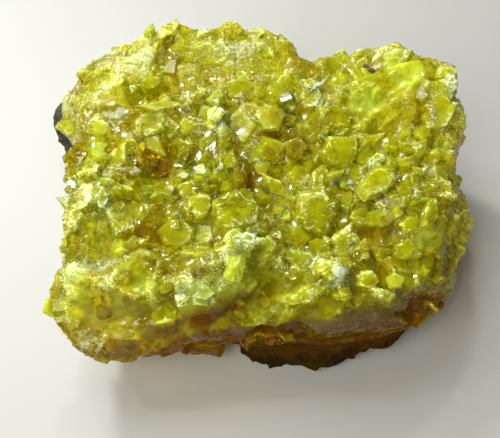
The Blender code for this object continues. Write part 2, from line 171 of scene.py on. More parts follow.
# (x, y, half length, half width, turn, kind, lean to the front, tone, frost, rise)
NAMED_CRYSTALS = (
    (-2.2, -11.6, 5.4, 5.0, 10, "block", 20, 0.3, 0.5, 0.6),
    (15.9, -11.2, 5.2, 4.8, 87, "block", 26, 0.3, 0.45, 0.7),
    (-15.6, -15.3, 3.9, 3.6, 24, "block", 20, 0.45, 0.3, 0.9),
    (22.4, 12.6, 3.0, 2.8, 85, "block", 30, 0.35, 0.35, 0.8),
    (22.0, 4.6, 4.6, 4.0, 54, "block", 24, 0.4, 0.35, 0.9),
    (5.4, 13.2, 3.6, 3.1, 0, "plate", 45, 0.6, 0.4, 0.5),
    (5.9, 7.0, 3.5, 3.3, 36, "plate", 40, 0.62, 0.25, 0.4),
    (11.5, 6.4, 3.0, 2.7, 0, "block", 25, 0.1, 0.0, 0.4),
    (29.4, -4.9, 5.4, 2.8, 45, "block", 15, 0.65, 0.6, 0.8),
    (35.6, -6.8, 3.1, 1.9, 67, "block", 20, 0.5, 0.3, 0.4),
    (29.0, -12.3, 3.2, 2.2, 12, "block", 25, 0.6, 0.5, 0.5),
    (33.4, -12.0, 2.3, 1.3, 75, "prism", 20, 0.7, 0.3, 0.6),
    (21.3, -18.5, 4.2, 1.9, 68, "plate", 35, 0.6, 0.7, 0.6),
    (16.1, -18.6, 2.3, 2.1, 5, "block", 15, 0.4, 0.2, 0.3),
    (-22.3, 7.0, 3.9, 2.0, -30, "plate", 35, 0.7, 0.6, 0.9),
    (-20.8, 14.6, 5.6, 1.8, -7, "plate", 25, 0.6, 0.5, 0.8),
    (-22.9, 10.8, 4.4, 2.8, 13, "block", 25, 0.4, 0.45, 0.3),
    (6.8, -1.9, 4.2, 1.9, -41, "prism", 15, 0.65, 0.3, 0.8),
    (-9.3, 6.9, 4.3, 2.3, 84, "block", 30, 0.35, 0.1, 0.4),
    (-14.1, 10.4, 2.7, 2.7, 0, "plate", 35, 0.6, 0.5, 0.4),
    (-8.3, 10.7, 1.7, 1.6, 30, "block", 30, 0.9, 0.8, 0.7),
    (-9.6, 15.0, 2.5, 2.3, 0, "block", 30, 0.8, 0.7, 0.6),
    (-1.7, 12.2, 4.6, 3.4, 75, "plate", 35, 0.6, 0.5, 0.5),
    (25.0, 0.2, 2.4, 2.2, 0, "block", 20, 0.6, 0.5, 0.5),
    (27.9, 2.9, 2.8, 2.1, 69, "block", 25, 0.4, 0.2, 0.4),
    (22.7, -3.3, 1.1, 1.0, 0, "block", 20, 0.7, 0.2, 0.7),
    (18.2, 14.6, 2.2, 1.5, 71, "prism", 25, 0.8, 0.6, 0.6),
    (45.0, 12.6, 4.8, 3.2, 59, "plate", 35, 0.6, 0.6, 0.3),
    (41.1, 8.2, 1.9, 1.8, 10, "block", 20, 0.6, 0.3, 0.7),
    (40.0, 3.4, 2.9, 1.6, 67, "plate", 30, 0.5, 0.4, 0.5),
    (33.5, -1.0, 1.2, 1.1, 0, "block", 20, 0.7, 0.2, 0.6),
    (11.6, -21.3, 4.6, 2.0, -6, "plate", 30, 0.7, 0.7, 0.6),
    (17.6, -26.4, 3.0, 2.3, -23, "block", 30, 0.7, 0.8, 0.2),
    (12.2, -30.6, 4.1, 1.8, 16, "plate", 35, 0.6, 0.6, 0.2),
    (-17.3, -33.6, 2.6, 2.4, 20, "block", 30, 0.4, 0.3, 0.2),
    (-10.7, -9.3, 3.2, 2.8, 47, "block", 20, 0.6, 0.6, 0.5),
    (-11.1, -15.0, 4.0, 3.4, 46, "block", 15, 0.7, 0.8, 0.3),
    (31.4, -27.6, 1.8, 1.7, 15, "block", 20, 0.8, 0.4, 0.6),
    (34.3, -20.2, 3.0, 1.9, 41, "block", 20, 0.5, 0.4, 0.5),
    (-2.2, 21.1, 4.2, 2.6, 27, "plate", 30, 0.55, 0.5, 0.3),
    (-30.3, 17.8, 2.4, 1.4, 96, "prism", 25, 0.8, 0.4, 0.5),
    (-31.1, 1.0, 5.8, 3.0, 56, "plate", 25, 0.6, 0.5, 0.2),
    (21.9, 29.0, 2.4, 2.1, 0, "plate", 35, 0.6, 0.2, 0.4),
    (1.1, 6.9, 3.1, 2.8, 25, "plate", 30, 0.7, 0.3, 0.2),
    (-19.8, -7.6, 3.9, 2.3, 25, "block", 25, 0.3, 0.3, 0.4),
    (-14.0, -4.1, 2.8, 2.6, 0, "block", 20, 0.6, 0.6, 0.3),
    (11.9, -15.6, 2.6, 2.2, 30, "block", 15, 0.35, 0.1, 0.2),
    (-4.5, 3.4, 3.2, 2.3, 57, "plate", 30, 0.6, 0.4, 0.3),
    (12.5, 0.9, 3.0, 2.4, 24, "block", 20, 0.35, 0.2, 0.2),
    (3.5, 3.9, 2.3, 2.1, 0, "plate", 30, 0.75, 0.2, 0.3),
    (17.1, -1.1, 3.3, 1.9, 62, "block", 20, 0.4, 0.5, 0.4),
    (35.6, -15.4, 2.7, 1.8, 32, "block", 20, 0.5, 0.4, 0.4),
    (30.0, -21.4, 2.6, 2.2, 0, "block", 15, 0.3, 0.3, 0.4),
    (25.3, -11.6, 2.4, 1.8, 23, "block", 20, 0.5, 0.5, 0.4),
    (40.1, -13.4, 3.6, 1.6, 73, "block", 20, 0.45, 0.5, 0.3),
    (28.8, 6.6, 4.2, 1.4, 40, "prism", 20, 0.6, 0.6, 0.5),
    (35.3, 13.3, 4.9, 1.3, 44, "prism", 25, 0.6, 0.5, 0.4),
    (37.5, 0.1, 3.4, 1.7, 74, "block", 20, 0.4, 0.2, 0.3),
    (15.4, 19.9, 3.1, 2.7, 65, "block", 30, 0.7, 1.0, 0.5),
    (-2.6, -17.8, 2.5, 1.7, 12, "block", 25, 0.7, 0.9, 0.4),
    (46.2, 6.5, 2.8, 2.1, 33, "block", 30, 0.35, 0.4, 0.1),
    (48.0, 22.6, 2.4, 2.2, 0, "block", 30, 0.7, 0.6, 0.2),
    (28.2, 18.7, 3.0, 1.7, 26, "plate", 30, 0.7, 0.7, 0.4),
    (20.6, -24.2, 2.2, 2.0, 0, "block", 15, 0.6, 0.7, 0.3),
    (26.0, -27.6, 2.4, 2.0, 0, "block", 20, 0.6, 0.6, 0.3),
)
BED_GROWTH = 1.3  # the mass is paler and warmer over this many times a named crystal's size
BARE_GROWTH = 0.9  # no medium crystal stands on this much of a named crystal's size

# ---------------------------------------------------------------- patches of the mass

# Each is (x, y, half length, half width, turn, strength). Finely cracked and pale:
FROSTED = (
    (33.0, 22.0, 9.0, 6.0, -20, 0.25), (46.0, 16.0, 4.0, 9.0, -20, 0.35), (24.0, 3.0, 5.0, 6.0, 30, 0.3),
    (33.0, -10.0, 3.5, 9.0, 10, 0.35), (-9.0, 18.0, 4.0, 6.0, 0, 0.35), (-38.0, -31.0, 4.0, 6.0, 0, 0.3),
    (20.7, -28.6, 3.4, 2.0, -40, 0.3), (24.0, -1.4, 2.0, 3.4, 0, 0.4), (29.6, 0.6, 1.8, 4.6, 24, 0.6),
    (31.1, -7.5, 1.8, 4.4, 0, 0.5), (-38.9, -35.0, 2.6, 5.0, 0, 0.6), (-30.5, -39.6, 4.0, 2.6, 0, 0.7),
    (-20.4, -29.6, 5.0, 2.2, 0, 0.5), (-8.9, -32.0, 5.0, 1.8, 30, 0.1), (36.0, 24.0, 6.0, 5.0, 0, 0.25),
    (-35.0, 19.9, 3.4, 1.8, 14, 0.8), (-26.6, 28.9, 4.2, 3.6, 29, 0.9), (-37.7, 13.1, 3.4, 2.4, -35, 0.9),
    (-44.0, 17.2, 2.0, 4.2, -34, 0.7), (-40.5, -5.2, 2.2, 7.5, 0, 0.1), (-1.1, 30.3, 4.2, 2.2, 0, 1.0),
    (-23.3, 35.0, 2.6, 3.0, 0, 0.7), (-29.3, -22.2, 6.4, 2.6, 24, 0.6), (-34.4, -25.1, 6.0, 2.8, 30, 0.5),
    (-29.7, -28.7, 4.0, 1.9, 17, 0.8), (15.9, 20.8, 3.6, 3.4, -70, 1.2), (45.8, 12.8, 3.0, 6.0, -28, 0.6),
    (50.2, 18.8, 3.0, 3.6, 0, 0.9), (41.8, -2.5, 5.4, 3.2, 23, 0.6), (4.3, 23.2, 2.6, 2.4, 0, 0.6),
    (-0.4, -19.0, 5.0, 2.8, 23, 1.1), (-4.5, -25.6, 7.4, 2.6, 56, 0.7), (-8.7, -31.2, 4.0, 2.4, 44, 0.5),
    (-33.3, -38.3, 3.8, 2.8, -20, 1.0), (12.0, -21.8, 5.2, 2.4, -6, 0.8),
    (18.9, -27.5, 3.0, 2.6, -34, 0.8), (12.2, -31.8, 5.0, 2.4, 16, 0.7), (28.5, -28.6, 4.6, 2.8, 16, 0.5),
    (-30.2, -11.6, 6.0, 4.2, -46, 0.5), (-11.0, -16.3, 5.0, 4.6, 56, 0.6),
    (-40.4, -30.8, 2.0, 7.0, -16, 0.6), (24.9, 23.1, 6.8, 2.4, 47, 0.5), (36.0, 28.0, 9.0, 2.4, -22, 0.5),
    (-2.5, 12.2, 3.8, 8.5, 0, 0.4), (-13.6, 10.3, 3.8, 3.4, 0, 0.5), (-23.0, 11.3, 6.0, 3.0, 33, 0.5),
    (-30.3, -0.2, 7.6, 3.2, 56, 0.5), (-7.6, 11.9, 2.8, 5.7, 9, 0.5), (-33.2, -13.6, 3.7, 4.8, 98, 0.6),
    (-34.5, -37.0, 3.6, 2.9, 0, 1.0), (17.5, -28.5, 4.9, 1.8, 27, 0.7), (45.6, 13.8, 1.9, 4.5, 0, 0.6),
    (0.7, 11.3, 2.4, 5.1, 0, 0.4), (27.9, -14.8, 2.7, 5.8, 0, 0.4), (-40.1, -21.4, 1.7, 3.5, 0, 0.5),
    (-47.5, 25.4, 3.7, 4.3, 0, 0.3), (-13.0, -29.8, 8.4, 1.9, 34, 0.7), (-14.9, -32.0, 7.6, 2.6, 14, 0.5),
)
# Lighter, or darker where below 0. Some are tone, but the lighter ones on the front wall, on the front
# of the ridge and in the gash by the hollow are painted light that lifts faces lying in shade:
TONED = (
    (1.7, -29.0, 5.0, 3.0, 20, 0.35), (26.0, -17.0, 5.0, 5.0, 0, 0.25), (-9.0, -30.5, 7.0, 2.6, 28, 0.5),
    (-13.0, -36.0, 6.0, 2.6, 18, 0.4), (-32.0, -13.0, 4.5, 5.0, 0, 0.4), (-20.4, -29.5, 4.5, 2.5, 0, 0.5),
    (-6.0, 11.3, 1.8, 6.3, 0, 0.6), (-41.0, 0.0, 3.4, 14.0, 0, -0.8), (-35.3, 3.5, 3.7, 6.0, 0, 0.4),
    (-1.8, -25.2, 4.9, 3.2, 49, 0.3), (37.1, 23.2, 7.2, 3.8, -29, 0.55), (28.3, 16.9, 3.8, 4.6, 0, 0.6),
    (38.0, -17.8, 3.1, 3.6, 0, 0.4), (-27.9, 5.4, 3.3, 3.6, 0, 0.3), (11.1, -31.8, 8.5, 1.8, 13, 0.3),
    (-36.1, -31.4, 2.9, 4.7, 0, 0.4), (15.0, 26.6, 2.8, 8.4, 38, -0.5), (-13.1, -6.1, 3.2, 2.8, 0, -0.4),
    (7.8, -2.6, 3.3, 2.9, 0, -0.3), (-23.0, 2.7, 3.8, 4.2, 0, -0.25), (-12.8, -34.0, 8.6, 2.8, 18, 0.6),
    (-31.0, -35.0, 6.6, 3.6, 0, 0.4), (10.2, 8.5, 3.8, 3.7, 0, -0.5), (4.3, 3.9, 2.9, 3.0, 0, -0.4),
    (-9.5, -15.6, 2.2, 2.1, 0, -0.5),
)
# Stained amber, and over the holes that FINE_RELIEF sinks also painted shade:
AMBER = (
    (-19.7, 29.8, 2.0, 3.6, 0, 0.6), (-16.9, 22.0, 3.0, 3.8, 0, 0.7), (10.6, 7.0, 3.6, 2.8, -13, 0.9),
    (0.7, 0.5, 3.0, 3.6, 0, 0.9), (-21.2, 3.7, 4.4, 3.6, 0, 1.2), (-9.5, -15.6, 1.3, 1.2, 0, 1.4),
    (6.7, 12.3, 4.2, 1.6, 47, 0.6), (-21.6, -15.9, 5.4, 3.0, 0, 0.6), (40.9, 13.3, 0.9, 4.0, 0, 0.7),
    (-6.7, -33.2, 10.6, 1.8, 24, 0.4), (30.6, -16.3, 4.0, 3.6, 0, 0.6), (28.8, -21.6, 3.6, 2.6, 0, 0.5),
)
# Clear faces, without breakage or grain:
GLASSY = (
    (-31.1, 15.4, 4.2, 3.6, 0, 1.0), (-37.5, 2.4, 3.4, 3.8, 26, 1.0), (35.6, 22.2, 7.4, 5.8, -14, 1.0),
    (-1.0, -31.0, 8.0, 2.0, 24, 0.3), (-27.0, -36.2, 8.0, 5.0, 0, 0.45),
    (-30.1, -32.7, 6.6, 3.2, 11, 0.3), (14.9, 4.0, 4.4, 4.0, 0, 0.5), (-14.0, -36.0, 6.0, 3.0, 20, 0.1),
    (20.0, -35.0, 12.0, 4.0, 0, 1.0),
)
# Dull and smooth, beside the rock:
MILKY = (
    (-34.3, 24.3, 9.4, 4.2, 56, 1.0), (-47.9, 25.6, 3.4, 4.9, 0, 1.0), (-41.8, 22.5, 2.8, 4.1, 42, 0.9),
)
# A crust of tiny crystals that looks like sugar:
SUGARY = (
    (-8.0, 28.4, 17.0, 8.5, 7, 1.0), (-38.8, -4.7, 4.0, 14.0, 0, 0.35), (-31.0, -22.0, 9.0, 4.0, 20, 0.7),
)
# Relief finer than the solid's, with its height in the place of a strength:
FINE_RELIEF = (
    (-21.2, 3.7, 3.4, 2.8, 0, -3.0), (-9.5, -15.6, 1.0, 0.9, 0, -1.8), (-16.9, 22.0, 2.4, 2.6, 0, -1.8),
    (0.7, 0.5, 2.4, 2.6, 0, -2.0), (40.9, 13.3, 0.8, 3.6, 0, -1.6), (-27.0, -33.6, 6.0, 0.8, 4, -1.6),
    (-30.3, -3.4, 6.5, 1.8, 56, 1.2), (-24.5, -17.6, 9.0, 1.6, 6, -1.4), (-31.3, -25.6, 8.0, 1.4, 8, 1.0),
    (-6.0, 26.4, 13.0, 1.0, 6, 0.5), (-8.0, 30.0, 12.0, 1.0, 9, 0.5), (-22.6, -30.6, 7.0, 1.0, 5, 0.9),
    (-3.0, -21.5, 9.0, 1.2, 55, 1.2), (10.0, -28.0, 8.0, 0.9, 14, -0.8), (-18.6, 36.0, 3.0, 3.0, 0, -1.0),
    (-6.0, 11.3, 1.6, 6.0, 0, 2.2), (36.0, 16.0, 9.0, 0.9, 42, 0.7), (33.0, 17.5, 9.0, 0.8, 42, -0.8),
    (17.5, -30.0, 6.0, 1.0, 12, 0.6),
)


# ---------------------------------------------------------------- settings a user would change


class SulfurSizes(bpy.types.PropertyGroup):
    """How finely the pieces are broken up."""

    mass_fineness: FloatProperty(
        name="Mass fineness", description="Spacing of the mass's points", default=0.00038, unit="LENGTH"
    )
    mass_triangles: IntProperty(
        name="Mass triangles", description="How many the mass keeps", default=190000
    )
    rock_fineness: FloatProperty(
        name="Rock fineness", description="Spacing of the rock's points", default=0.0007, unit="LENGTH"
    )
    medium_crystals: IntProperty(
        name="Medium crystals", description="How many stand on the mass", default=620
    )
    medium_size: FloatProperty(
        name="Medium size", description="Half length of the largest", default=0.0034, unit="LENGTH"
    )
    sugar_grains: IntProperty(
        name="Sugar grains", description="How many small grains cover the mass", default=12000
    )
    sugar_size: FloatProperty(
        name="Sugar size", description="Half length of the largest grain", default=0.00045, unit="LENGTH"
    )


def colour_setting(name, description, default):
    """A colour that the panel shows."""
    return FloatVectorProperty(
        name=name, description=description, default=default, size=3, min=0, max=1, subtype="COLOR"
    )


class SulfurColours(bpy.types.PropertyGroup):
    """Colours of the finishes, as linear values."""

    olive: colour_setting("Olive", "Clear sulfur where it is deep", (0.40, 0.30, 0.0008))
    yellow: colour_setting("Yellow", "Clear sulfur", (0.59, 0.58, 0.004))
    bright: colour_setting("Bright", "Thin and pale crystals", (0.64, 0.76, 0.07))
    frost: colour_setting("Frost", "Finely cracked and sugary sulfur", (0.69, 0.83, 0.53))
    # Amber also stands for painted shade on some walls and in holes
    amber: colour_setting("Amber", "Sulfur stained by the rock", (0.165, 0.064, 0.0006))
    clear: colour_setting("Clear", "Tint of light that passes through", (0.93, 0.885, 0.012))
    clear_amber: colour_setting("Clear amber", "Tint of light through a stain", (0.70, 0.30, 0.001))
    green: colour_setting("Green", "Clear crystals where they are deep", (0.28, 0.27, 0.003))
    clear_green: colour_setting("Clear green", "Tint of light through crystals", (0.85, 0.865, 0.016))
    # The pit colour is painted shade in the pits and valleys of the mass; the seams share it
    pit: colour_setting("Pit", "Bottom of a deep pit", (0.34, 0.22, 0.001))
    rock: colour_setting("Rock", "Body of the host rock", (0.026, 0.013, 0.001))
    rock_dark: colour_setting("Dark rock", "Dark grains of the host rock", (0.012, 0.007, 0.001))
    rock_pale: colour_setting("Pale rock", "Pale grains of the host rock", (0.055, 0.033, 0.004))
    rock_grey: colour_setting("Grey rock", "The rock beside the sulfur", (0.05, 0.055, 0.04))
    chip: colour_setting("Chip", "The dark splinter", (0.05, 0.025, 0.012))
    floor: colour_setting("Floor", "The studio floor", (0.27, 0.26, 0.245))


# ---------------------------------------------------------------- shader maths as expressions


class Wire:
    """A number that varies over a surface. Arithmetic on it adds the nodes that work it out."""

    def __init__(self, graph, socket):
        self.graph = graph
        self.socket = socket

    def maths(self, operation, *values, clamp=False):
        settings = {"operation": operation, "use_clamp": clamp}
        return self.graph.node("ShaderNodeMath", settings, dict(enumerate(values)))

    def __add__(self, other):
        return self.maths("ADD", self, other)

    def __sub__(self, other):
        return self.maths("SUBTRACT", self, other)

    def __mul__(self, other):
        return self.maths("MULTIPLY", self, other)

    def __rsub__(self, other):
        return self.maths("SUBTRACT", other, self)

    __radd__ = __add__
    __rmul__ = __mul__

    def kept_to_one(self):
        return self.maths("ADD", self, 0.0, clamp=True)

    def above(self, start, end):
        """0 below start, 1 above end, and a straight ramp between."""
        return self.maths("MULTIPLY", self - start, 1 / (end - start), clamp=True)


def socket_label(name):
    """The label of the shader's socket that a keyword names."""
    return name.replace("_", " ").title().replace("Ior", "IOR")


class Finish:
    """A material and the nodes in it."""

    # A Mix node has sockets of each type, and these are the ones of a mix of colours
    MIX_SHARE, MIX_FIRST, MIX_SECOND, MIX_RESULT = 0, 6, 7, 2

    def __init__(self, name, **constants):
        self.material = bpy.data.materials.new(name)
        self.material.use_nodes = True
        self.tree = self.material.node_tree
        self.shader = self.tree.nodes["Principled BSDF"]
        self.set_constants(self.shader, constants)

    def set_constants(self, shader, constants):
        for socket, value in constants.items():
            shader.inputs[socket_label(socket)].default_value = value

    def node(self, kind, settings=None, sockets=None, output=0):
        """Adds a node with its settings and socket values, and returns one of its outputs as a wire."""
        made = self.tree.nodes.new(kind)
        for key, value in (settings or {}).items():
            setattr(made, key, value)
        for key, value in (sockets or {}).items():
            self.feed(made.inputs[key], value)
        return Wire(self, made.outputs[output])

    def feed(self, socket, value):
        if isinstance(value, Wire):
            self.tree.links.new(value.socket, socket)
        elif socket.type == "RGBA" and len(value) == 3:
            socket.default_value = (*value, 1.0)
        else:
            socket.default_value = value

    def attribute(self, name):
        """A number that the mesh stores per point."""
        return self.node("ShaderNodeAttribute", {"attribute_name": name}, output="Fac")

    def places(self, stretch=(1, 1, 1)):
        """Places on the piece in millimetres, stretched along each axis."""
        here = self.node("ShaderNodeTexCoord", output="Object")
        return self.vector("MULTIPLY", here, tuple(s / MM for s in stretch))

    def vector(self, operation, *values):
        return self.node("ShaderNodeVectorMath", {"operation": operation}, dict(enumerate(values)))

    def scaled(self, vector, amount):
        sockets = {"Vector": vector, "Scale": amount}
        return self.node("ShaderNodeVectorMath", {"operation": "SCALE"}, sockets)

    def dot(self, vector, way):
        sockets = {0: vector, 1: way}
        return self.node("ShaderNodeVectorMath", {"operation": "DOT_PRODUCT"}, sockets, "Value")

    def noise(self, places, size, detail=3.0, roughness=0.55, swirl=0.0):
        sockets = {"Vector": places, "Scale": 1 / size, "Detail": detail, "Roughness": roughness}
        sockets["Distortion"] = swirl
        return self.node("ShaderNodeTexNoise", None, sockets)

    def cells(self, places, size, output):
        """The Distance or the random Color of the cells of a size that fill space."""
        return self.node("ShaderNodeTexVoronoi", None, {"Vector": places, "Scale": 1 / size}, output)

    def mix(self, share, first, second):
        """A colour between two."""
        sockets = {self.MIX_SHARE: share, self.MIX_FIRST: first, self.MIX_SECOND: second}
        return self.node("ShaderNodeMix", {"data_type": "RGBA"}, sockets, self.MIX_RESULT)

    def bumps(self, height, depth, normal=None):
        """A normal bent by a height of so many millimetres."""
        sockets = {"Height": height, "Distance": depth * MM, "Strength": 1.0}
        if normal:
            sockets["Normal"] = normal
        return self.node("ShaderNodeBump", None, sockets)

    def facets(self, colour, tilt):
        """The surface's normal, tilted a different way in each cell of a random colour, as on a crust
        of tiny crystals."""
        lean = self.scaled(self.vector("SUBTRACT", colour, (0.5, 0.5, 0.5)), tilt)
        normal = self.node("ShaderNodeNewGeometry", output="Normal")
        return self.vector("NORMALIZE", self.vector("ADD", normal, lean))

    def show(self, **wires):
        for socket, wire in wires.items():
            self.feed(self.shader.inputs[socket_label(socket)], wire)
        return self.material

    def clear_part(self, share, colour, roughness, normal, **constants):
        """Mixes in a see-through shader by a share that varies."""
        clear = self.tree.nodes.new("ShaderNodeBsdfPrincipled")
        self.set_constants(clear, constants)
        self.feed(clear.inputs["Base Color"], colour)
        self.feed(clear.inputs["Roughness"], roughness)
        self.feed(clear.inputs["Normal"], normal)
        mixed = self.tree.nodes.new("ShaderNodeMixShader")
        self.feed(mixed.inputs[0], share)
        self.tree.links.new(self.shader.outputs[0], mixed.inputs[1])
        self.tree.links.new(clear.outputs[0], mixed.inputs[2])
        self.tree.links.new(mixed.outputs[0], self.tree.nodes["Material Output"].inputs["Surface"])


# ---------------------------------------------------------------- shapes worked out on whole arrays


def ramp(values, start, end):
    """0 at start, 1 at end, and a straight ramp between, whichever of the two is larger."""
    return np.clip((values - start) / (end - start), 0, 1)


def even_chances(cells, salt):
    """Four even random numbers from 0 to 1 for every whole-number cell."""
    x, y, z = np.moveaxis(cells.astype(np.int64), -1, 0)
    for_x, for_y, for_z, for_salt = HASH_PRIMES
    mixed = (x * for_x) ^ (y * for_y) ^ (z * for_z) ^ (salt * for_salt)
    found = []
    for _ in range(4):
        mixed = mixed & LOW_BITS
        mixed = ((mixed ^ (mixed >> 13)) * HASH_FACTOR) & LOW_BITS
        mixed = mixed ^ (mixed >> 16)
        found.append(mixed / LOW_BITS)
    return np.stack(found, -1)


def nearest_grains(points, size, salt):
    """The nearest and the second nearest grain to each point of a mass, as (gap, seed, cell) each."""
    base = np.floor(points / size)
    first, second = ([np.full(len(points), np.inf), points * 0, points * 0] for _ in range(2))
    for shift in itertools.product((-1, 0, 1), repeat=3):
        cell = base + shift
        seed = (cell + even_chances(cell, salt)[:, :3]) * size
        gap = np.linalg.norm(points - seed, axis=1)
        nearest = gap < first[0]
        next_best = ~nearest & (gap < second[0])
        for pushed, held, found in zip(second, first, (gap, seed, cell)):
            pushed[nearest] = held[nearest]
            held[nearest] = found[nearest]
            pushed[next_best] = found[next_best]
    return first, second


# The heights of a broken surface, the distance from a grain's border as a share, and a grain's chances
Relief = namedtuple("Relief", "height border luck")


def broken_relief(points, breakage):
    """How far each point stands out where a mass has broken grain by grain, so that grains meet in
    ridges."""
    size, step, slant, bowl, salt = breakage
    first, second = nearest_grains(points, size, salt)
    heights = []
    for _, seed, cell in (first, second):
        luck = even_chances(cell, salt + 1)
        lean = luck[:, 1:] * 2 - 1
        heights.append(step * (luck[:, 0] * 2 - 1) + slant * np.einsum("ij,ij->i", lean, points - seed))
    border = (second[0] - first[0]) / size
    share = 0.5 + 0.5 * np.clip(border / BORDER_EASE, 0, 1)
    height = heights[0] * share + heights[1] * (1 - share) + bowl * (first[0] / size) ** 2
    return Relief(height - bowl * BOWL_LEVEL, border, even_chances(first[2], salt + 1))


def patch_sum(points, patches):
    """The sum of some soft oval patches at each point, seen from above."""
    total = np.zeros(len(points))
    for x, y, length, width, turn, strength in patches:
        turned = math.radians(turn)
        dx, dy = points[:, 0] - x, points[:, 1] - y
        along = (dx * math.cos(turned) + dy * math.sin(turned)) / length
        across = (dy * math.cos(turned) - dx * math.sin(turned)) / width
        total += strength * np.exp(-(along**2) - across**2)
    return total


def crystal_beds(points, growth):
    """1 in the middle of each named crystal, fading to 0 round it, over ovals of so many times its
    size."""
    beds = [
        (x, y, growth * length, growth * width, turn, 1)
        for x, y, length, width, turn, *_ in NAMED_CRYSTALS
    ]
    return np.clip(patch_sum(points, beds), 0, 1)


def mesh_arrays(mesh):
    """(points in millimetres, normals, triangles) of a mesh."""
    points = np.empty(len(mesh.vertices) * 3)
    mesh.vertices.foreach_get("co", points)
    normals = np.empty(len(mesh.vertices) * 3, np.float32)
    mesh.vertex_normals.foreach_get("vector", normals)
    mesh.calc_loop_triangles()
    triangles = np.empty(len(mesh.loop_triangles) * 3, np.int32)
    mesh.loop_triangles.foreach_get("vertices", triangles)
    return points.reshape(-1, 3) / MM, normals.reshape(-1, 3).astype(float), triangles.reshape(-1, 3)


def place_points(mesh, points):
    """Moves a mesh's points to places in millimetres, and back onto the solids' box where they would
    stand past it. Returns the places."""
    low, high = np.array(cad_box[0]) / MM, np.array(cad_box[1]) / MM
    points = np.clip(points, low, high)
    mesh.vertices.foreach_set("co", (points * MM).ravel())
    mesh.update()
    return points


def keep_values(mesh, **values):
    """Stores a number per point under each name, for the finish to read."""
    for name, numbers in values.items():
        stored = mesh.attributes.new(name, "FLOAT", "POINT")
        stored.data.foreach_set("value", np.asarray(numbers, np.float32))


def smoothed(values, triangles, rounds):
    """Numbers per point, averaged with their neighbours so many times."""
    edges = np.concatenate([triangles[:, [0, 1]], triangles[:, [1, 2]], triangles[:, [2, 0]]])
    count = np.bincount(edges.ravel(), minlength=len(values))
    for _ in range(rounds):
        total = np.bincount(edges[:, 0], values[edges[:, 1]], len(values))
        total += np.bincount(edges[:, 1], values[edges[:, 0]], len(values))
        values = total / np.maximum(count, 1)
    return values


# ---------------------------------------------------------------- objects


def stood(name, data):
    """An object of the scene with its data."""
    made = bpy.data.objects.new(name, data)
    bpy.context.scene.collection.objects.link(made)
    return made


def voxel_remesh(thing, name, spacing):
    """Lays an even net of points over a thing."""
    even = thing.modifiers.new(name, "REMESH")
    even.mode = "VOXEL"
    even.voxel_size = spacing


def as_modified(thing):
    """The mesh that a thing's modifiers make. The thing itself goes."""
    graph = bpy.context.evaluated_depsgraph_get()
    mesh = bpy.data.meshes.new_from_object(thing.evaluated_get(graph))
    bpy.data.objects.remove(thing)
    return mesh


def evened_copy(node, spacing, rounds):
    """A copy of a solid's mesh on an even, finer net of points, with its creases eased."""
    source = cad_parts[node].copy()
    source.data = source.data.copy()
    source.parent = None
    bpy.context.scene.collection.objects.link(source)
    voxel_remesh(source, "even", spacing)
    ease = source.modifiers.new("ease", "SMOOTH")
    ease.iterations = rounds
    return as_modified(source)


def thinned(mesh, limit):
    """The mesh with its flattest places merged until it is under a number of triangles."""
    full = stood("full", mesh)
    mesh.calc_loop_triangles()
    thin = full.modifiers.new("thin", "DECIMATE")
    thin.ratio = min(1.0, limit / len(mesh.loop_triangles))
    thin.use_collapse_triangulate = True
    made = as_modified(full)
    bpy.data.meshes.remove(mesh)
    return made


def shade_broken(mesh):
    """Smooth faces that meet in sharp edges."""
    mesh.shade_smooth()
    mesh.set_sharp_from_angle(angle=math.radians(SHARP_ANGLE))


def add_piece(name, mesh, finish, replaced=None):
    """Makes a mesh into a piece of the specimen."""
    piece = stood(name, mesh)
    mesh.materials.clear()
    mesh.materials.append(finish)
    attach(piece, BODY)
    if replaced:
        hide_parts(replaced)
    return piece


# ---------------------------------------------------------------- crystal shapes


def hull_of(points):
    """The convex solid round some points, with its flat faces merged."""
    bm = bmesh.new()
    for point in points:
        bm.verts.new(point)
    made = bmesh.ops.convex_hull(bm, input=bm.verts)
    inside = [g for g in made["geom_interior"] if isinstance(g, bmesh.types.BMVert)]
    bmesh.ops.delete(bm, geom=list(set(inside)), context="VERTS")
    bmesh.ops.dissolve_limit(bm, angle_limit=math.radians(FLAT_ANGLE), verts=bm.verts, edges=bm.edges)
    bmesh.ops.recalc_face_normals(bm, faces=bm.faces)
    return bm


def girdled_points(rng, corners, top):
    """Corners of a crystal round an uneven girdle, with a smaller flat top and bottom."""
    points = []
    for i in range(corners):
        turn = math.tau * (i + rng.uniform(-CORNER_SHIFT, CORNER_SHIFT)) / corners
        reach = rng.uniform(*CORNER_REACH)
        x, y = reach * math.cos(turn), reach * math.sin(turn)
        points.append((x, y, rng.uniform(-GIRDLE_RISE, GIRDLE_RISE)))
        for side in (1, -1):
            share = top * rng.uniform(*TOP_SPREAD)
            points.append((x * share, y * share, side))
    return points


def lump_points(rng):
    """Corners of a small grain, strewn over a ball."""
    return [Vector([rng.gauss(0, 1) for _ in range(3)]).normalized() for _ in range(LUMP_CORNERS)]


def crystal_form(kind, rng):
    """A crystal of a kind, or else a lump, that fills a ball of radius 1."""
    if kind not in CRYSTAL_KINDS:
        return hull_of(lump_points(rng))
    choices, top, _ = CRYSTAL_KINDS[kind]
    corners = rng.choice(choices) if len(choices) > 1 else choices[0]
    return hull_of(girdled_points(rng, corners, top))


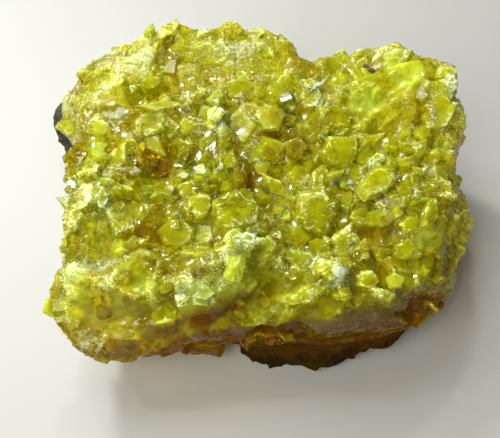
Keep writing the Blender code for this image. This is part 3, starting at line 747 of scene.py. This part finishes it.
class Template:
    """A crystal form as arrays. Each face is fanned from its middle, so that `rim` runs from 1 on the
    form's edges to 0 in the middle of a face, and is then cut finer with its corners worn round."""

    def __init__(self, kind, rng, fanned=True, cuts=0):
        bm = crystal_form(kind, rng)
        rim = bm.verts.layers.float.new("rim")
        for vert in bm.verts:
            vert[rim] = 1.0
        if fanned:
            for middle in bmesh.ops.poke(bm, faces=bm.faces)["verts"]:
                middle[rim] = 0.0
        else:
            bmesh.ops.triangulate(bm, faces=bm.faces)
        if cuts:
            bmesh.ops.subdivide_edges(bm, edges=bm.edges, cuts=cuts, use_grid_fill=True)
            bmesh.ops.triangulate(bm, faces=bm.faces)
            for _ in range(2):
                bmesh.ops.smooth_vert(bm, verts=bm.verts, factor=0.5)
        bm.verts.ensure_lookup_table()
        self.points = np.array([v.co for v in bm.verts])
        self.faces = np.array([[v.index for v in f.verts] for f in bm.faces])
        self.rim = np.array([v[rim] for v in bm.verts])
        bm.free()


def joined_mesh(name, placed, chipped=False):
    """One mesh of many crystals. Each is (template, 3 x 3 matrix, place, {value name: number}).
    Chipped ones have faces broken into smaller ones."""
    points, faces, values, start = [], [], {}, 0
    for template, matrix, place, numbers in placed:
        points.append(template.points @ matrix.T + place)
        faces.append(template.faces + start)
        start += len(template.points)
        values.setdefault("rim", []).append(template.rim)
        for key, number in numbers.items():
            values.setdefault(key, []).append(number + template.points[:, 0] * 0)
    points, faces = np.concatenate(points), np.concatenate(faces)
    if chipped:
        middles = [np.tile(place, (len(template.points), 1)) for template, _, place, _ in placed]
        away = points - np.concatenate(middles)
        height = broken_relief(points, CHIPPED_FACES).height
        points += away / np.linalg.norm(away, axis=1)[:, None] * height[:, None]
    mesh = bpy.data.meshes.new(name)
    mesh.vertices.add(len(points))
    mesh.loops.add(faces.size)
    mesh.polygons.add(len(faces))
    mesh.vertices.foreach_set("co", (points * MM).ravel())
    mesh.polygons.foreach_set("loop_start", np.arange(0, faces.size, 3, dtype=np.int32))
    mesh.loops.foreach_set("vertex_index", faces.ravel().astype(np.int32))
    mesh.update(calc_edges=True)
    mesh.shade_flat()
    if chipped:
        shade_broken(mesh)
    keep_values(mesh, **{key: np.concatenate(parts) for key, parts in values.items()})
    return mesh


# ---------------------------------------------------------------- finishes

# How sulfur looks. Its surface glints in facets of a size that tilt by a share. It is see-through by its
# clearness. Seams darken the lines between faces, a halo frosts the edges of faces, and wisps of a
# size frost it in streaks.
SulfurLook = namedtuple("SulfurLook", "facets tilt clearness seams halo wisps streak")
MASS_LOOK = SulfurLook(
    facets=1.0, tilt=0.22, clearness=0.78, seams=1.0, halo=0.45, wisps=1.6, streak=2.1
)
CRYSTAL_LOOK = SulfurLook(
    facets=2.0, tilt=0.09, clearness=0.74, seams=0.0, halo=0.5, wisps=3.0, streak=1.6
)
SUGAR_LOOK = MASS_LOOK._replace(facets=0.8, tilt=0.05, clearness=0.25, seams=0.0)

FROSTED_SULFUR = {
    "ior": 1.96,
    "specular_ior_level": 0.22,
    "subsurface_weight": 1.0,
    "subsurface_scale": 1.0,
}
CLEAR_SULFUR = {"transmission_weight": 1.0, "ior": 1.38, "specular_ior_level": 0.25}
SCATTER_METRES = (0.005, 0.0042, 0.0003)


def sulfur_finish(name, colours, deep, tint, look):
    """Sulfur: clear and golden to yellow inside its faces, frosted along its edges and on its ridges,
    stained amber by the rock, with more amber as painted shade on some walls and in holes, darker in
    its pits as painted shade, and darker along its seams. `deep` is its own colour where it is
    thick, and `tint` that of the light which passes through it."""
    finish = Finish(name, **FROSTED_SULFUR)
    finish.shader.inputs["Subsurface Radius"].default_value = SCATTER_METRES
    here = finish.places()
    tone, rim, frost = (finish.attribute(value) for value in ("tone", "rim", "frost"))
    amber, pit, sugary = (finish.attribute(value) for value in ("amber", "pit", "sugary"))
    cloud = finish.noise(here, 3.5, detail=3, roughness=0.6, swirl=1.0)
    wisps = finish.noise(finish.places((1, 1.5, 1.5)), look.wisps, detail=5, roughness=0.7, swirl=2.0)
    speckle = finish.noise(here, 0.45, detail=2, roughness=0.7)
    seam = rim.above(0.8, 1.0) * look.seams
    edges = rim.above(0.3, 0.9) * wisps.above(0.25, 0.6)
    # The amber share is stain, and on some walls and in holes it is also painted shade
    stain = (amber + (cloud - 0.5) * 0.5 * amber).kept_to_one()

    # Where it is frosted, and its colours from deep to thin
    pale = frost * 0.9 + edges * look.halo - seam * 0.6 - stain * 0.2
    pale = (pale + (wisps - 0.5) * look.streak + (speckle - 0.5) * 0.4).above(0.52, 1.35)
    light = tone * 1.1 + (cloud - 0.5) * 1.3 - 0.05
    thin = light.above(0.5, 1.1)
    body = finish.mix(light.above(0.0, 0.5), deep, colours.yellow)
    body = finish.mix(thin, body, colours.bright)
    body = finish.mix(stain, body, colours.amber)
    # Painted shade: the pits take the pit colour, and the seams, as dark joints, a share of it
    body = finish.mix((pit + seam * 0.6).kept_to_one(), body, colours.pit)
    body = finish.mix((pale * (0.9 - stain * 0.75)).kept_to_one(), body, colours.frost)

    # Some of its tiny facets are glassy and the others dull
    crystal = finish.cells(here, look.facets, "Color")
    glassy = finish.dot(crystal, (1, 0, 0)).above(0.55, 0.6)
    dull = 0.08 + pale * 0.35 + sugary * 0.05
    shine = (dull - (dull - 0.04) * glassy).kept_to_one()
    crust = finish.facets(crystal, look.tilt)
    normal = finish.bumps((speckle * 0.6 + wisps) * (0.2 + pale), 0.07, crust)

    # What is neither frosted nor in a pit is see-through
    seen_through = (1 - pale) * (1 - pit).kept_to_one() * (1 - thin * 0.3) * look.clearness
    stained_tint = finish.mix(stain, tint, colours.clear_amber)
    finish.clear_part(seen_through.kept_to_one(), stained_tint, shine, normal, **CLEAR_SULFUR)
    return finish.show(base_color=body, roughness=shine, normal=normal)


def rock_finish(name, colours):
    """Host rock: rough and dark brown, with dark and pale grains and a rusty bloom, and grey beside the
    sulfur."""
    finish = Finish(name, roughness=0.85, ior=1.5, specular_ior_level=0.08)
    here = finish.places()
    cloud = finish.noise(here, 7.0, detail=4)
    grit = finish.noise(here, 0.7, detail=3, roughness=0.7)
    pebbles = finish.cells(here, 0.8, "Distance")
    body = finish.mix(cloud.above(0.35, 0.65), colours.rock_dark, colours.rock)
    body = finish.mix(grit.above(0.52, 0.75) * 0.8, body, colours.rock_pale)
    body = finish.mix(finish.attribute("amber").kept_to_one() * 0.7, body, colours.amber)
    body = finish.mix(finish.attribute("grey") * grit.above(0.2, 0.6), body, colours.rock_grey)
    normal = finish.bumps(grit * 1.2 + pebbles * 0.4, 0.35)
    return finish.show(base_color=body, roughness=0.7 + grit * 0.25, normal=normal)


def chip_finish(name, colours):
    """The splinter: dark brown, with a faint grain along it."""
    finish = Finish(name, roughness=0.6, ior=1.5)
    grain = finish.noise(finish.places((1, 2.5, 2.5)), 0.5, detail=3, roughness=0.65)
    body = finish.mix(grain.above(0.4, 0.8), colours.chip, colours.rock)
    return finish.show(base_color=body, roughness=0.45 + grain * 0.4, normal=finish.bumps(grain, 0.12))


def floor_finish(name, colours):
    """The studio floor: pale, with clouds a shade lighter."""
    finish = Finish(name, roughness=0.6)
    cloud = finish.noise(finish.places(), 60.0, detail=3)
    pale = tuple(min(1.0, c * 1.03) for c in colours.floor)
    return finish.show(base_color=finish.mix(cloud, colours.floor, pale))


# ---------------------------------------------------------------- the mass


def surface_values(points, normals):
    """What is so at points of the mass, each from about 0 to 1: how frosted, amber, sugary, clear and
    milky it is, how much a plain wall, and how much lighter or darker than its surroundings. The amber
    of the front wall, of the wall under the lip and of the right wall is partly stain and partly
    painted shade, and these walls are less frosted as painted shade. Some of the lighter places are
    painted light."""
    x, y, z = points.T
    wall = 1 - ramp(normals[:, 2], *CROWN_STEEPNESS)
    forward = np.clip(-normals[:, 1] * 1.6 - 0.3, 0, 1)
    front = forward * ramp(z, *FRONT_HEIGHT) * ramp(y, *FRONT_DEPTH)
    # Amber on the front wall: partly stain, partly painted shade
    front_stain_and_shade = front * (0.65 + 0.35 * ramp(x, *STAIN_AND_SHADE_RIGHTWARDS))
    # Under the lip: more painted shade
    undercut = front_stain_and_shade * ramp(z, *BELOW_LIP)
    right = wall * ramp(x, *RIGHT_WALL) * ramp(z, *RIGHT_WALL_HEIGHT)
    left_back = wall * ramp(x, *LEFT_WALL) * ramp(y, *LEFT_WALL_DEPTH)

    clear = np.clip(patch_sum(points, GLASSY), 0, 1)
    sugary = np.clip(patch_sum(points, SUGARY), 0, 1) * (1 - clear)
    milky = np.clip(left_back + patch_sum(points, MILKY), 0, 1)
    bed = crystal_beds(points, BED_GROWTH) * np.clip(normals[:, 2], 0, 1)
    # The front, under-lip and right-wall terms are partly painted shade
    amber = patch_sum(points, AMBER) + 0.2 * bed + 0.82 * front_stain_and_shade + 0.45 * undercut + 0.55 * right
    frost = 0.1 + 0.15 * bed + 0.55 * patch_sum(points, FROSTED) + 0.22 * sugary - 0.35 * clear
    return {
        # The front and right walls are less frosted: painted shade
        "frost": frost - 0.35 * front_stain_and_shade - 0.2 * right + 0.3 * milky,
        "amber": amber + 0.9 * ramp(z, *STAINED_FOOT),
        "sugary": sugary,
        "clear": clear,
        "milky": milky,
        "walls": front + right + milky + ramp(z, *FOOT),
        "tone": patch_sum(points, TONED) + 0.1 * milky,
    }


def sunken(height, triangles):
    """How far each point lies in a pit or a valley, and below 0 on a ridge."""
    height = smoothed(height, triangles, 2)
    around = smoothed(height, triangles, 60)
    wide = smoothed(around, triangles, 300)
    return (around - height) * 0.55 + (wide - height) * 0.22


def build_mass():
    """The crystal mass, broken into faces down to about a millimetre."""
    sizes, colours = bpy.context.scene.sulfur_sizes, bpy.context.scene.sulfur_colours
    mesh = evened_copy("sulfur_mass", sizes.mass_fineness, 4)
    points, normals, triangles = mesh_arrays(mesh)
    values = surface_values(points, normals)
    clear, sugary = values["clear"], values["sugary"]

    broad = broken_relief(points, BROAD_FACES)
    middle = broken_relief(points * MIDDLE_STRETCH, MIDDLE_FACES)
    small = broken_relief(points, SMALL_FACES)
    flow = broken_relief(points * FLOW_STRETCH, SUGARY_FLOW)
    coarse = np.clip(broad.luck[:, 1] * 1.7 - 0.35, 0.08, 1)

    # Clear faces break the least, sugary ones flow, and walls are smoother than the crown
    rough = broad.height * (1 - 0.55 * clear)
    rough += middle.height * (1 - 0.85 * clear) * (0.2 + 0.6 * coarse) * (1 - sugary)
    rough += flow.height * sugary * 0.45
    rough += small.height * (1 - 0.95 * clear) * (0.35 + 0.5 * np.maximum(coarse, sugary))
    rough = rough * (1 - 0.7 * np.clip(values["walls"], 0, 1)) * (1 - 0.35 * sugary)
    rough = rough * (1 - 0.75 * values["milky"]) - RELIEF_DEPTH
    sole = (normals[:, 2] < -LEVEL) & (points[:, 2] < ROCK_TOP + NEAR)
    rough = np.where(sole, 0, rough)
    front = np.clip(-normals[:, 1] - 0.2, 0, 1) * (points[:, 0] > UNDERCUT_LEFT_END)
    rough -= UNDERCUT * front * ramp(points[:, 2], *BELOW_LIP)
    moved = points + normals * rough[:, None]
    crown = ramp(normals[:, 2], *CROWN_STEEPNESS)
    moved[:, 2] += patch_sum(points, FINE_RELIEF) * crown
    moved = place_points(mesh, moved)

    # Painted shade: the pit value darkens the pits and valleys and takes frost from them
    sunk = sunken(moved[:, 2], triangles)
    ridge = np.clip(-sunk, 0, 1) * crown
    sunk = np.clip(sunk, 0, 2) * crown
    rim = np.maximum(1 - broad.border * 5, (1 - middle.border * 4) * coarse) * (1 - 0.7 * clear)
    keep_values(
        mesh,
        tone=0.2 + 0.4 * broad.luck[:, 0] + 0.25 * (middle.luck[:, 0] - 0.5) + values["tone"],
        rim=np.clip(rim, 0, 1),
        frost=values["frost"] + 0.5 * ridge + 0.25 * (coarse - 0.5) - 0.4 * np.clip(sunk, 0, 1),
        amber=np.clip(values["amber"], 0, 1),
        pit=np.clip(sunk * 0.7 - 0.15, 0, 0.8),
        sugary=np.clip(sugary + values["milky"], 0, 1),
    )
    mesh = thinned(mesh, sizes.mass_triangles)
    shade_broken(mesh)
    finish = sulfur_finish("sulfur_of_the_mass", colours, colours.olive, colours.clear, MASS_LOOK)
    return add_piece("crystal_mass", mesh, finish, "sulfur_mass")


# ---------------------------------------------------------------- what stands on the mass


class Ground:
    """The mass's surface, to stand crystals on: its triangles' areas, middles and facings."""

    def __init__(self, piece):
        points, _, triangles = mesh_arrays(piece.data)
        corners = points[triangles]
        across = np.cross(corners[:, 1] - corners[:, 0], corners[:, 2] - corners[:, 0])
        self.areas = np.linalg.norm(across, axis=1) / 2
        self.middles = corners.mean(axis=1)
        self.faces = across / np.maximum(self.areas[:, None] * 2, 1e-9)
        self.tree = BVHTree.FromPolygons(points.tolist(), triangles.tolist())

    def top_at(self, x, y):
        """The highest place of the surface at x, y."""
        spot = self.tree.ray_cast(Vector((x, y, HIGH_ABOVE)), Vector((0, 0, -1)))[0]
        if spot is None:
            raise ValueError(f"no surface at {x}, {y}")
        return spot

    def draws(self, count, likelihood, rng):
        """Random triangles of the surface, as likely as their area times a likelihood."""
        weight = self.areas * likelihood
        return rng.choice(len(weight), size=count, p=weight / weight.sum())


def turn_to(direction, turn):
    """A 3 x 3 matrix that lays a form's flat top across a direction and turns it in degrees, as seen
    from above."""
    way = Vector(direction).normalized()
    lean = Vector((0, 0, 1)).rotation_difference(way).to_matrix()
    return np.array(lean @ Matrix.Rotation(math.radians(turn), 3, "Z"))


def build_named_crystals(ground):
    """The crystals that the eye picks out, each at its own place with its flat top to the front."""
    rng = random.Random(SEED)
    placed = []
    for x, y, length, width, turn, kind, lean, tone, frost, rise in NAMED_CRYSTALS:
        leaning = math.radians(lean + rng.uniform(-LEAN_SPREAD, LEAN_SPREAD))
        aside = rng.uniform(-SIDE_LEAN, SIDE_LEAN)
        way = Vector((aside, -math.sin(leaning), math.cos(leaning))).normalized()
        thick = CRYSTAL_KINDS[kind].thickness * min(length, width)
        matrix = turn_to(way, turn) @ np.diag((length * NAMED_GROWTH, width * NAMED_GROWTH, thick))
        spots = [ground.top_at(x + dx, y + dy) for dx, dy in PROBES]
        place = np.mean(spots, axis=0) + np.array(way) * (rise - NAMED_SINK - NAMED_ROOT * thick)
        template = Template(kind, rng, cuts=3)
        pale_side = template.points @ np.array((rng.uniform(-1, 1), rng.uniform(-1, 1), 0.3))
        numbers = {"tone": tone - 0.16 + 0.25 * pale_side, "frost": frost * 0.6 - 0.1 + 0.2 * pale_side}
        numbers.update(amber=0.0, pit=0.0, sugary=0.0)
        placed.append((template, matrix, place, numbers))
    mesh = joined_mesh("named_crystals", placed, chipped=True)
    colours = bpy.context.scene.sulfur_colours
    deep, tint = colours.green, colours.clear_green
    finish = sulfur_finish("sulfur_of_the_crystals", colours, deep, tint, CRYSTAL_LOOK)
    return add_piece("named_crystals", mesh, finish)


def strewn(ground, spots, values, shapes, span, rng, sink, tilt):
    """Crystals on some triangles of the mass. Each has a size in the span, is sunk by a share of it, and
    leans by about a tilt from the face it grows on."""
    smallest, largest = span
    placed = []
    for triangle in spots:
        size = smallest + (largest - smallest) * rng.random() ** SIZE_BIAS
        scale = np.diag(size * rng.uniform(*STREWN_SHAPE))
        way = ground.faces[triangle] + rng.normal(0, tilt, 3)
        place = ground.middles[triangle] - ground.faces[triangle] * size * sink
        numbers = {key: number[triangle] for key, number in values.items()}
        numbers["tone"] = numbers["tone"] + 0.1 + 0.6 * rng.random()
        numbers["frost"] = numbers["frost"] + 0.4 * (rng.random() - 0.5)
        matrix = turn_to(way, rng.uniform(0, 360)) @ scale
        placed.append((shapes[rng.integers(len(shapes))], matrix, place, numbers))
    return placed


def strewn_values(ground):
    """What a strewn crystal takes from its place, and how clear and milky the mass is there."""
    values = surface_values(ground.middles, ground.faces)
    kept = {name: values[name] for name in ("frost", "sugary", "tone")}
    kept["amber"] = np.clip(values["amber"], 0, 1)
    kept["pit"] = np.zeros(len(ground.middles))
    return kept, values["clear"], values["milky"]


def build_medium_crystals(ground):
    """Crystals of one to four millimetres, most of them in and round the hollow."""
    sizes = bpy.context.scene.sulfur_sizes
    values, clear, milky = strewn_values(ground)
    x, y, z = ground.middles.T
    middle_x, middle_y, length, width = HOLLOW
    hollow = np.exp(-(((x - middle_x) / length) ** 2) - ((y - middle_y) / width) ** 2)
    likelihood = (0.1 + hollow) * (1 - 0.92 * clear) * (1 - milky)
    likelihood *= np.clip(ground.faces[:, 2] + 0.25, 0.05, 1) * (x < CRYSTALS_END)
    likelihood *= (1 - crystal_beds(ground.middles, BARE_GROWTH)) * (z > CRYSTALS_START)
    rng = random.Random(SEED + 1)
    shapes = [Template(kind, rng, cuts=1) for kind in ("block", "plate", "prism", "lump") * 4]
    span = (SMALLEST_CRYSTAL, sizes.medium_size / MM)
    chance = np.random.default_rng(SEED)
    spots = ground.draws(sizes.medium_crystals, likelihood, chance)
    placed = strewn(ground, spots, values, shapes, span, chance, sink=0.36, tilt=0.22)
    mesh = joined_mesh("medium_crystals", placed, chipped=True)
    finish = bpy.data.materials["sulfur_of_the_crystals"]
    return add_piece("medium_crystals", mesh, finish)


def build_sugar(ground):
    """The sugary grain, thick on ridges and frosted patches and absent from clear faces."""
    sizes, colours = bpy.context.scene.sulfur_sizes, bpy.context.scene.sulfur_colours
    values, clear, milky = strewn_values(ground)
    likelihood = np.clip(values["frost"] + 0.6 * values["sugary"], 0.04, 1.3) * (1 - 0.97 * clear)
    likelihood **= CROWDING
    likelihood *= np.clip(ground.faces[:, 2] + 0.3, 0.05, 1) * (1 - 0.9 * milky)
    rng = random.Random(SEED + 2)
    shapes = [Template("lump", rng, fanned=False) for _ in range(12)]
    span = (SMALLEST_GRAIN, sizes.sugar_size / MM)
    chance = np.random.default_rng(SEED + 1)
    spots = ground.draws(sizes.sugar_grains, likelihood, chance)
    placed = strewn(ground, spots, values, shapes, span, chance, sink=0.15, tilt=1.0)
    mesh = joined_mesh("sugar", placed)
    finish = sulfur_finish("sulfur_of_the_sugar", colours, colours.olive, colours.clear, SUGAR_LOOK)
    return add_piece("sugary_grain", mesh, finish)


# ---------------------------------------------------------------- the rock and the splinter


def build_rock():
    """The host rock, broken finer than its solid, but for its sole and its flat top."""
    sizes, colours = bpy.context.scene.sulfur_sizes, bpy.context.scene.sulfur_colours
    mesh = evened_copy("host_rock", sizes.rock_fineness, 2)
    points, normals, _ = mesh_arrays(mesh)
    rough = broken_relief(points, BROKEN_ROCK).height + broken_relief(points, ROCK_GRAIN).height
    level = (points[:, 2] < NEAR) | (np.abs(points[:, 2] - ROCK_TOP) < NEAR)
    flat = (np.abs(normals[:, 2]) > LEVEL) & level
    rough = np.where(flat, np.minimum(rough, 0) * FLAT_ROUGHNESS, rough)
    x, _, z = place_points(mesh, points + normals * rough[:, None]).T
    stain = ramp(z, *STAINED_ROCK_HEIGHT) * ramp(x, *STAINED_ROCK)
    keep_values(mesh, amber=stain * ROCK_STAIN, grey=ramp(x, *GREY_ROCK))
    mesh.shade_flat()
    return add_piece("rock_slab", mesh, rock_finish("host_rock", colours), "host_rock")


CHIP_LOBES = ((-0.9, 0.35, 0.75), (0.75, -0.35, 0.85), (0.0, 0.0, 0.6))  # x, y, radius
CHIP_STRETCH = 1.25
CHIP_TURN = -30
CHIP_FLATNESS = (1.0, 0.75, 0.6, 1.0)
CHIP_ROUGHNESS = 0.05
CHIP_DROP = 0.15
CHIP_FINENESS = 0.1


def build_chip():
    """The dark splinter, with two lobes and a waist."""
    low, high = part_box("dark_chip")
    middle = (low + high) / 2
    rng = random.Random(SEED)
    bm = bmesh.new()
    for x, y, radius in CHIP_LOBES:
        lobe = bmesh.ops.create_icosphere(bm, subdivisions=3, radius=radius)
        for vert in lobe["verts"]:
            vert.co.x *= CHIP_STRETCH
            vert.co += Vector((x, y, 0))
    spun = Matrix.Rotation(math.radians(CHIP_TURN), 4, "Z") @ Matrix.Diagonal(CHIP_FLATNESS)
    bmesh.ops.transform(bm, matrix=spun, verts=bm.verts)
    for vert in bm.verts:
        vert.co *= 1 + rng.uniform(-CHIP_ROUGHNESS, CHIP_ROUGHNESS)
    bmesh.ops.scale(bm, vec=(MM, MM, MM), verts=bm.verts)
    bmesh.ops.translate(bm, vec=middle - Vector((0, 0, CHIP_DROP * MM)), verts=bm.verts)
    mesh = bpy.data.meshes.new("splinter")
    bm.to_mesh(mesh)
    bm.free()
    lobes = stood("splinter_lobes", mesh)
    voxel_remesh(lobes, "merge", CHIP_FINENESS * MM)
    finish = chip_finish("splinter_brown", bpy.context.scene.sulfur_colours)
    return add_piece("splinter", as_modified(lobes), finish, "dark_chip")


# ---------------------------------------------------------------- the stage

FLOOR_HALF_METRES = 1.5
CAMERA_TARGET = (0.665, -7.054, 22.0)
CAMERA_DISTANCE = 150
CAMERA_ELEVATION = 57
CAMERA_LENS = 45
CAMERA_NEAREST_METRES = 0.005

# Square lamps: place and side in metres, power in watts, colour, and whether faces mirror it
Lamp = namedtuple("Lamp", "place side power colour mirrored")
LAMPS = {
    "window": Lamp((-0.26, 0.30, 0.40), 0.08, 3.0, (0.96, 1.0, 0.98), True),
    "sky": Lamp((-0.16, 0.18, 0.45), 0.25, 1.8, (0.96, 1.0, 0.98), True),
    "fill": Lamp((-0.26, -0.28, 0.42), 0.4, 4.5, (1.0, 1.0, 0.9), False),
    "glint_back": Lamp((-0.05, 0.30, 0.46), 0.03, 0.7, (0.9, 0.96, 1.0), True),
    "glint_left": Lamp((-0.30, 0.10, 0.44), 0.03, 0.5, (0.95, 0.98, 1.0), True),
    "glint_front": Lamp((-0.14, -0.20, 0.46), 0.03, 0.25, (0.95, 0.98, 1.0), True),
}
WORLD_COLOUR = (1.0, 0.95, 0.86, 1)
WORLD_STRENGTH = 0.1


def build_floor():
    """A plain pale floor."""
    bm = bmesh.new()
    bmesh.ops.create_grid(bm, x_segments=2, y_segments=2, size=FLOOR_HALF_METRES)
    mesh = bpy.data.meshes.new("floor")
    bm.to_mesh(mesh)
    bm.free()
    floor = stood("floor", mesh)
    mesh.materials.append(floor_finish("floor_pale", bpy.context.scene.sulfur_colours))


def build_camera(target):
    """The camera, in front of the specimen and well above it."""
    elevation = math.radians(CAMERA_ELEVATION)
    camera = stood("camera", bpy.data.cameras.new("camera"))
    camera.data.lens = CAMERA_LENS
    camera.data.clip_start = CAMERA_NEAREST_METRES
    away = Vector((0, -math.cos(elevation), math.sin(elevation)))
    camera.location = target + away * (CAMERA_DISTANCE * MM)
    camera.rotation_euler = (math.pi / 2 - elevation, 0, 0)
    bpy.context.scene.camera = camera


def build_lights(target):
    """Soft light from the back left, a broad fill, and small lamps that glint in the faces."""
    for name, lamp in LAMPS.items():
        area = bpy.data.lights.new(name, "AREA")
        area.size = lamp.side
        area.energy = lamp.power
        area.color = lamp.colour
        light = stood(name, area)
        light.location = lamp.place
        light.visible_glossy = lamp.mirrored
        light.rotation_euler = (target - Vector(lamp.place)).to_track_quat("-Z", "Y").to_euler()
    world = bpy.data.worlds.new("studio")
    world.use_nodes = True
    background = world.node_tree.nodes["Background"]
    background.inputs["Color"].default_value = WORLD_COLOUR
    background.inputs["Strength"].default_value = WORLD_STRENGTH
    bpy.context.scene.world = world
    bpy.context.scene.view_settings.view_transform = "Standard"


# ---------------------------------------------------------------- operators and panel


class SULFUR_OT_stage(bpy.types.Operator):
    """Set up the floor, the lights and the camera"""

    bl_idname = "sulfur.stage"
    bl_label = "Stage"

    def execute(self, context):
        target = Vector(CAMERA_TARGET) * MM
        build_floor()
        build_camera(target)
        build_lights(target)
        return {"FINISHED"}


class SULFUR_OT_mass(bpy.types.Operator):
    """Break up the crystal mass and give it its finish"""

    bl_idname = "sulfur.mass"
    bl_label = "Crystal mass"

    def execute(self, context):
        build_mass()
        return {"FINISHED"}


class SULFUR_OT_crystals(bpy.types.Operator):
    """Stand the named and medium crystals and the sugary grain on the mass"""

    bl_idname = "sulfur.crystals"
    bl_label = "Crystals and grain"

    def execute(self, context):
        ground = Ground(bpy.data.objects["crystal_mass"])
        build_named_crystals(ground)
        build_medium_crystals(ground)
        build_sugar(ground)
        return {"FINISHED"}


class SULFUR_OT_rock(bpy.types.Operator):
    """Roughen the host rock"""

    bl_idname = "sulfur.rock"
    bl_label = "Host rock"

    def execute(self, context):
        build_rock()
        return {"FINISHED"}


class SULFUR_OT_chip(bpy.types.Operator):
    """Shape the dark splinter"""

    bl_idname = "sulfur.chip"
    bl_label = "Dark splinter"

    def execute(self, context):
        build_chip()
        return {"FINISHED"}


OPERATORS = (SULFUR_OT_stage, SULFUR_OT_mass, SULFUR_OT_crystals, SULFUR_OT_rock, SULFUR_OT_chip)


class SULFUR_PT_specimen(bpy.types.Panel):
    """Lists what builds the specimen, and its settings"""

    bl_label = "Native sulfur"
    bl_idname = "SULFUR_PT_specimen"
    bl_space_type = "VIEW_3D"
    bl_region_type = "UI"
    bl_category = "Sulfur"

    def draw(self, context):
        for operator in OPERATORS:
            self.layout.operator(operator.bl_idname)
        for settings in (context.scene.sulfur_sizes, context.scene.sulfur_colours):
            for name in settings.bl_rna.properties.keys():
                if name not in ("rna_type", "name"):
                    self.layout.prop(settings, name)


CLASSES = (SulfurSizes, SulfurColours, *OPERATORS, SULFUR_PT_specimen)


def register():
    for each in CLASSES:
        bpy.utils.register_class(each)
    bpy.types.Scene.sulfur_sizes = PointerProperty(type=SulfurSizes)
    bpy.types.Scene.sulfur_colours = PointerProperty(type=SulfurColours)


def unregister():
    del bpy.types.Scene.sulfur_colours
    del bpy.types.Scene.sulfur_sizes
    for each in reversed(CLASSES):
        bpy.utils.unregister_class(each)


def main():
    register()
    bpy.ops.sulfur.stage()
    bpy.ops.sulfur.mass()
    bpy.ops.sulfur.crystals()
    bpy.ops.sulfur.rock()
    bpy.ops.sulfur.chip()


if __name__ == "__main__":
    main()
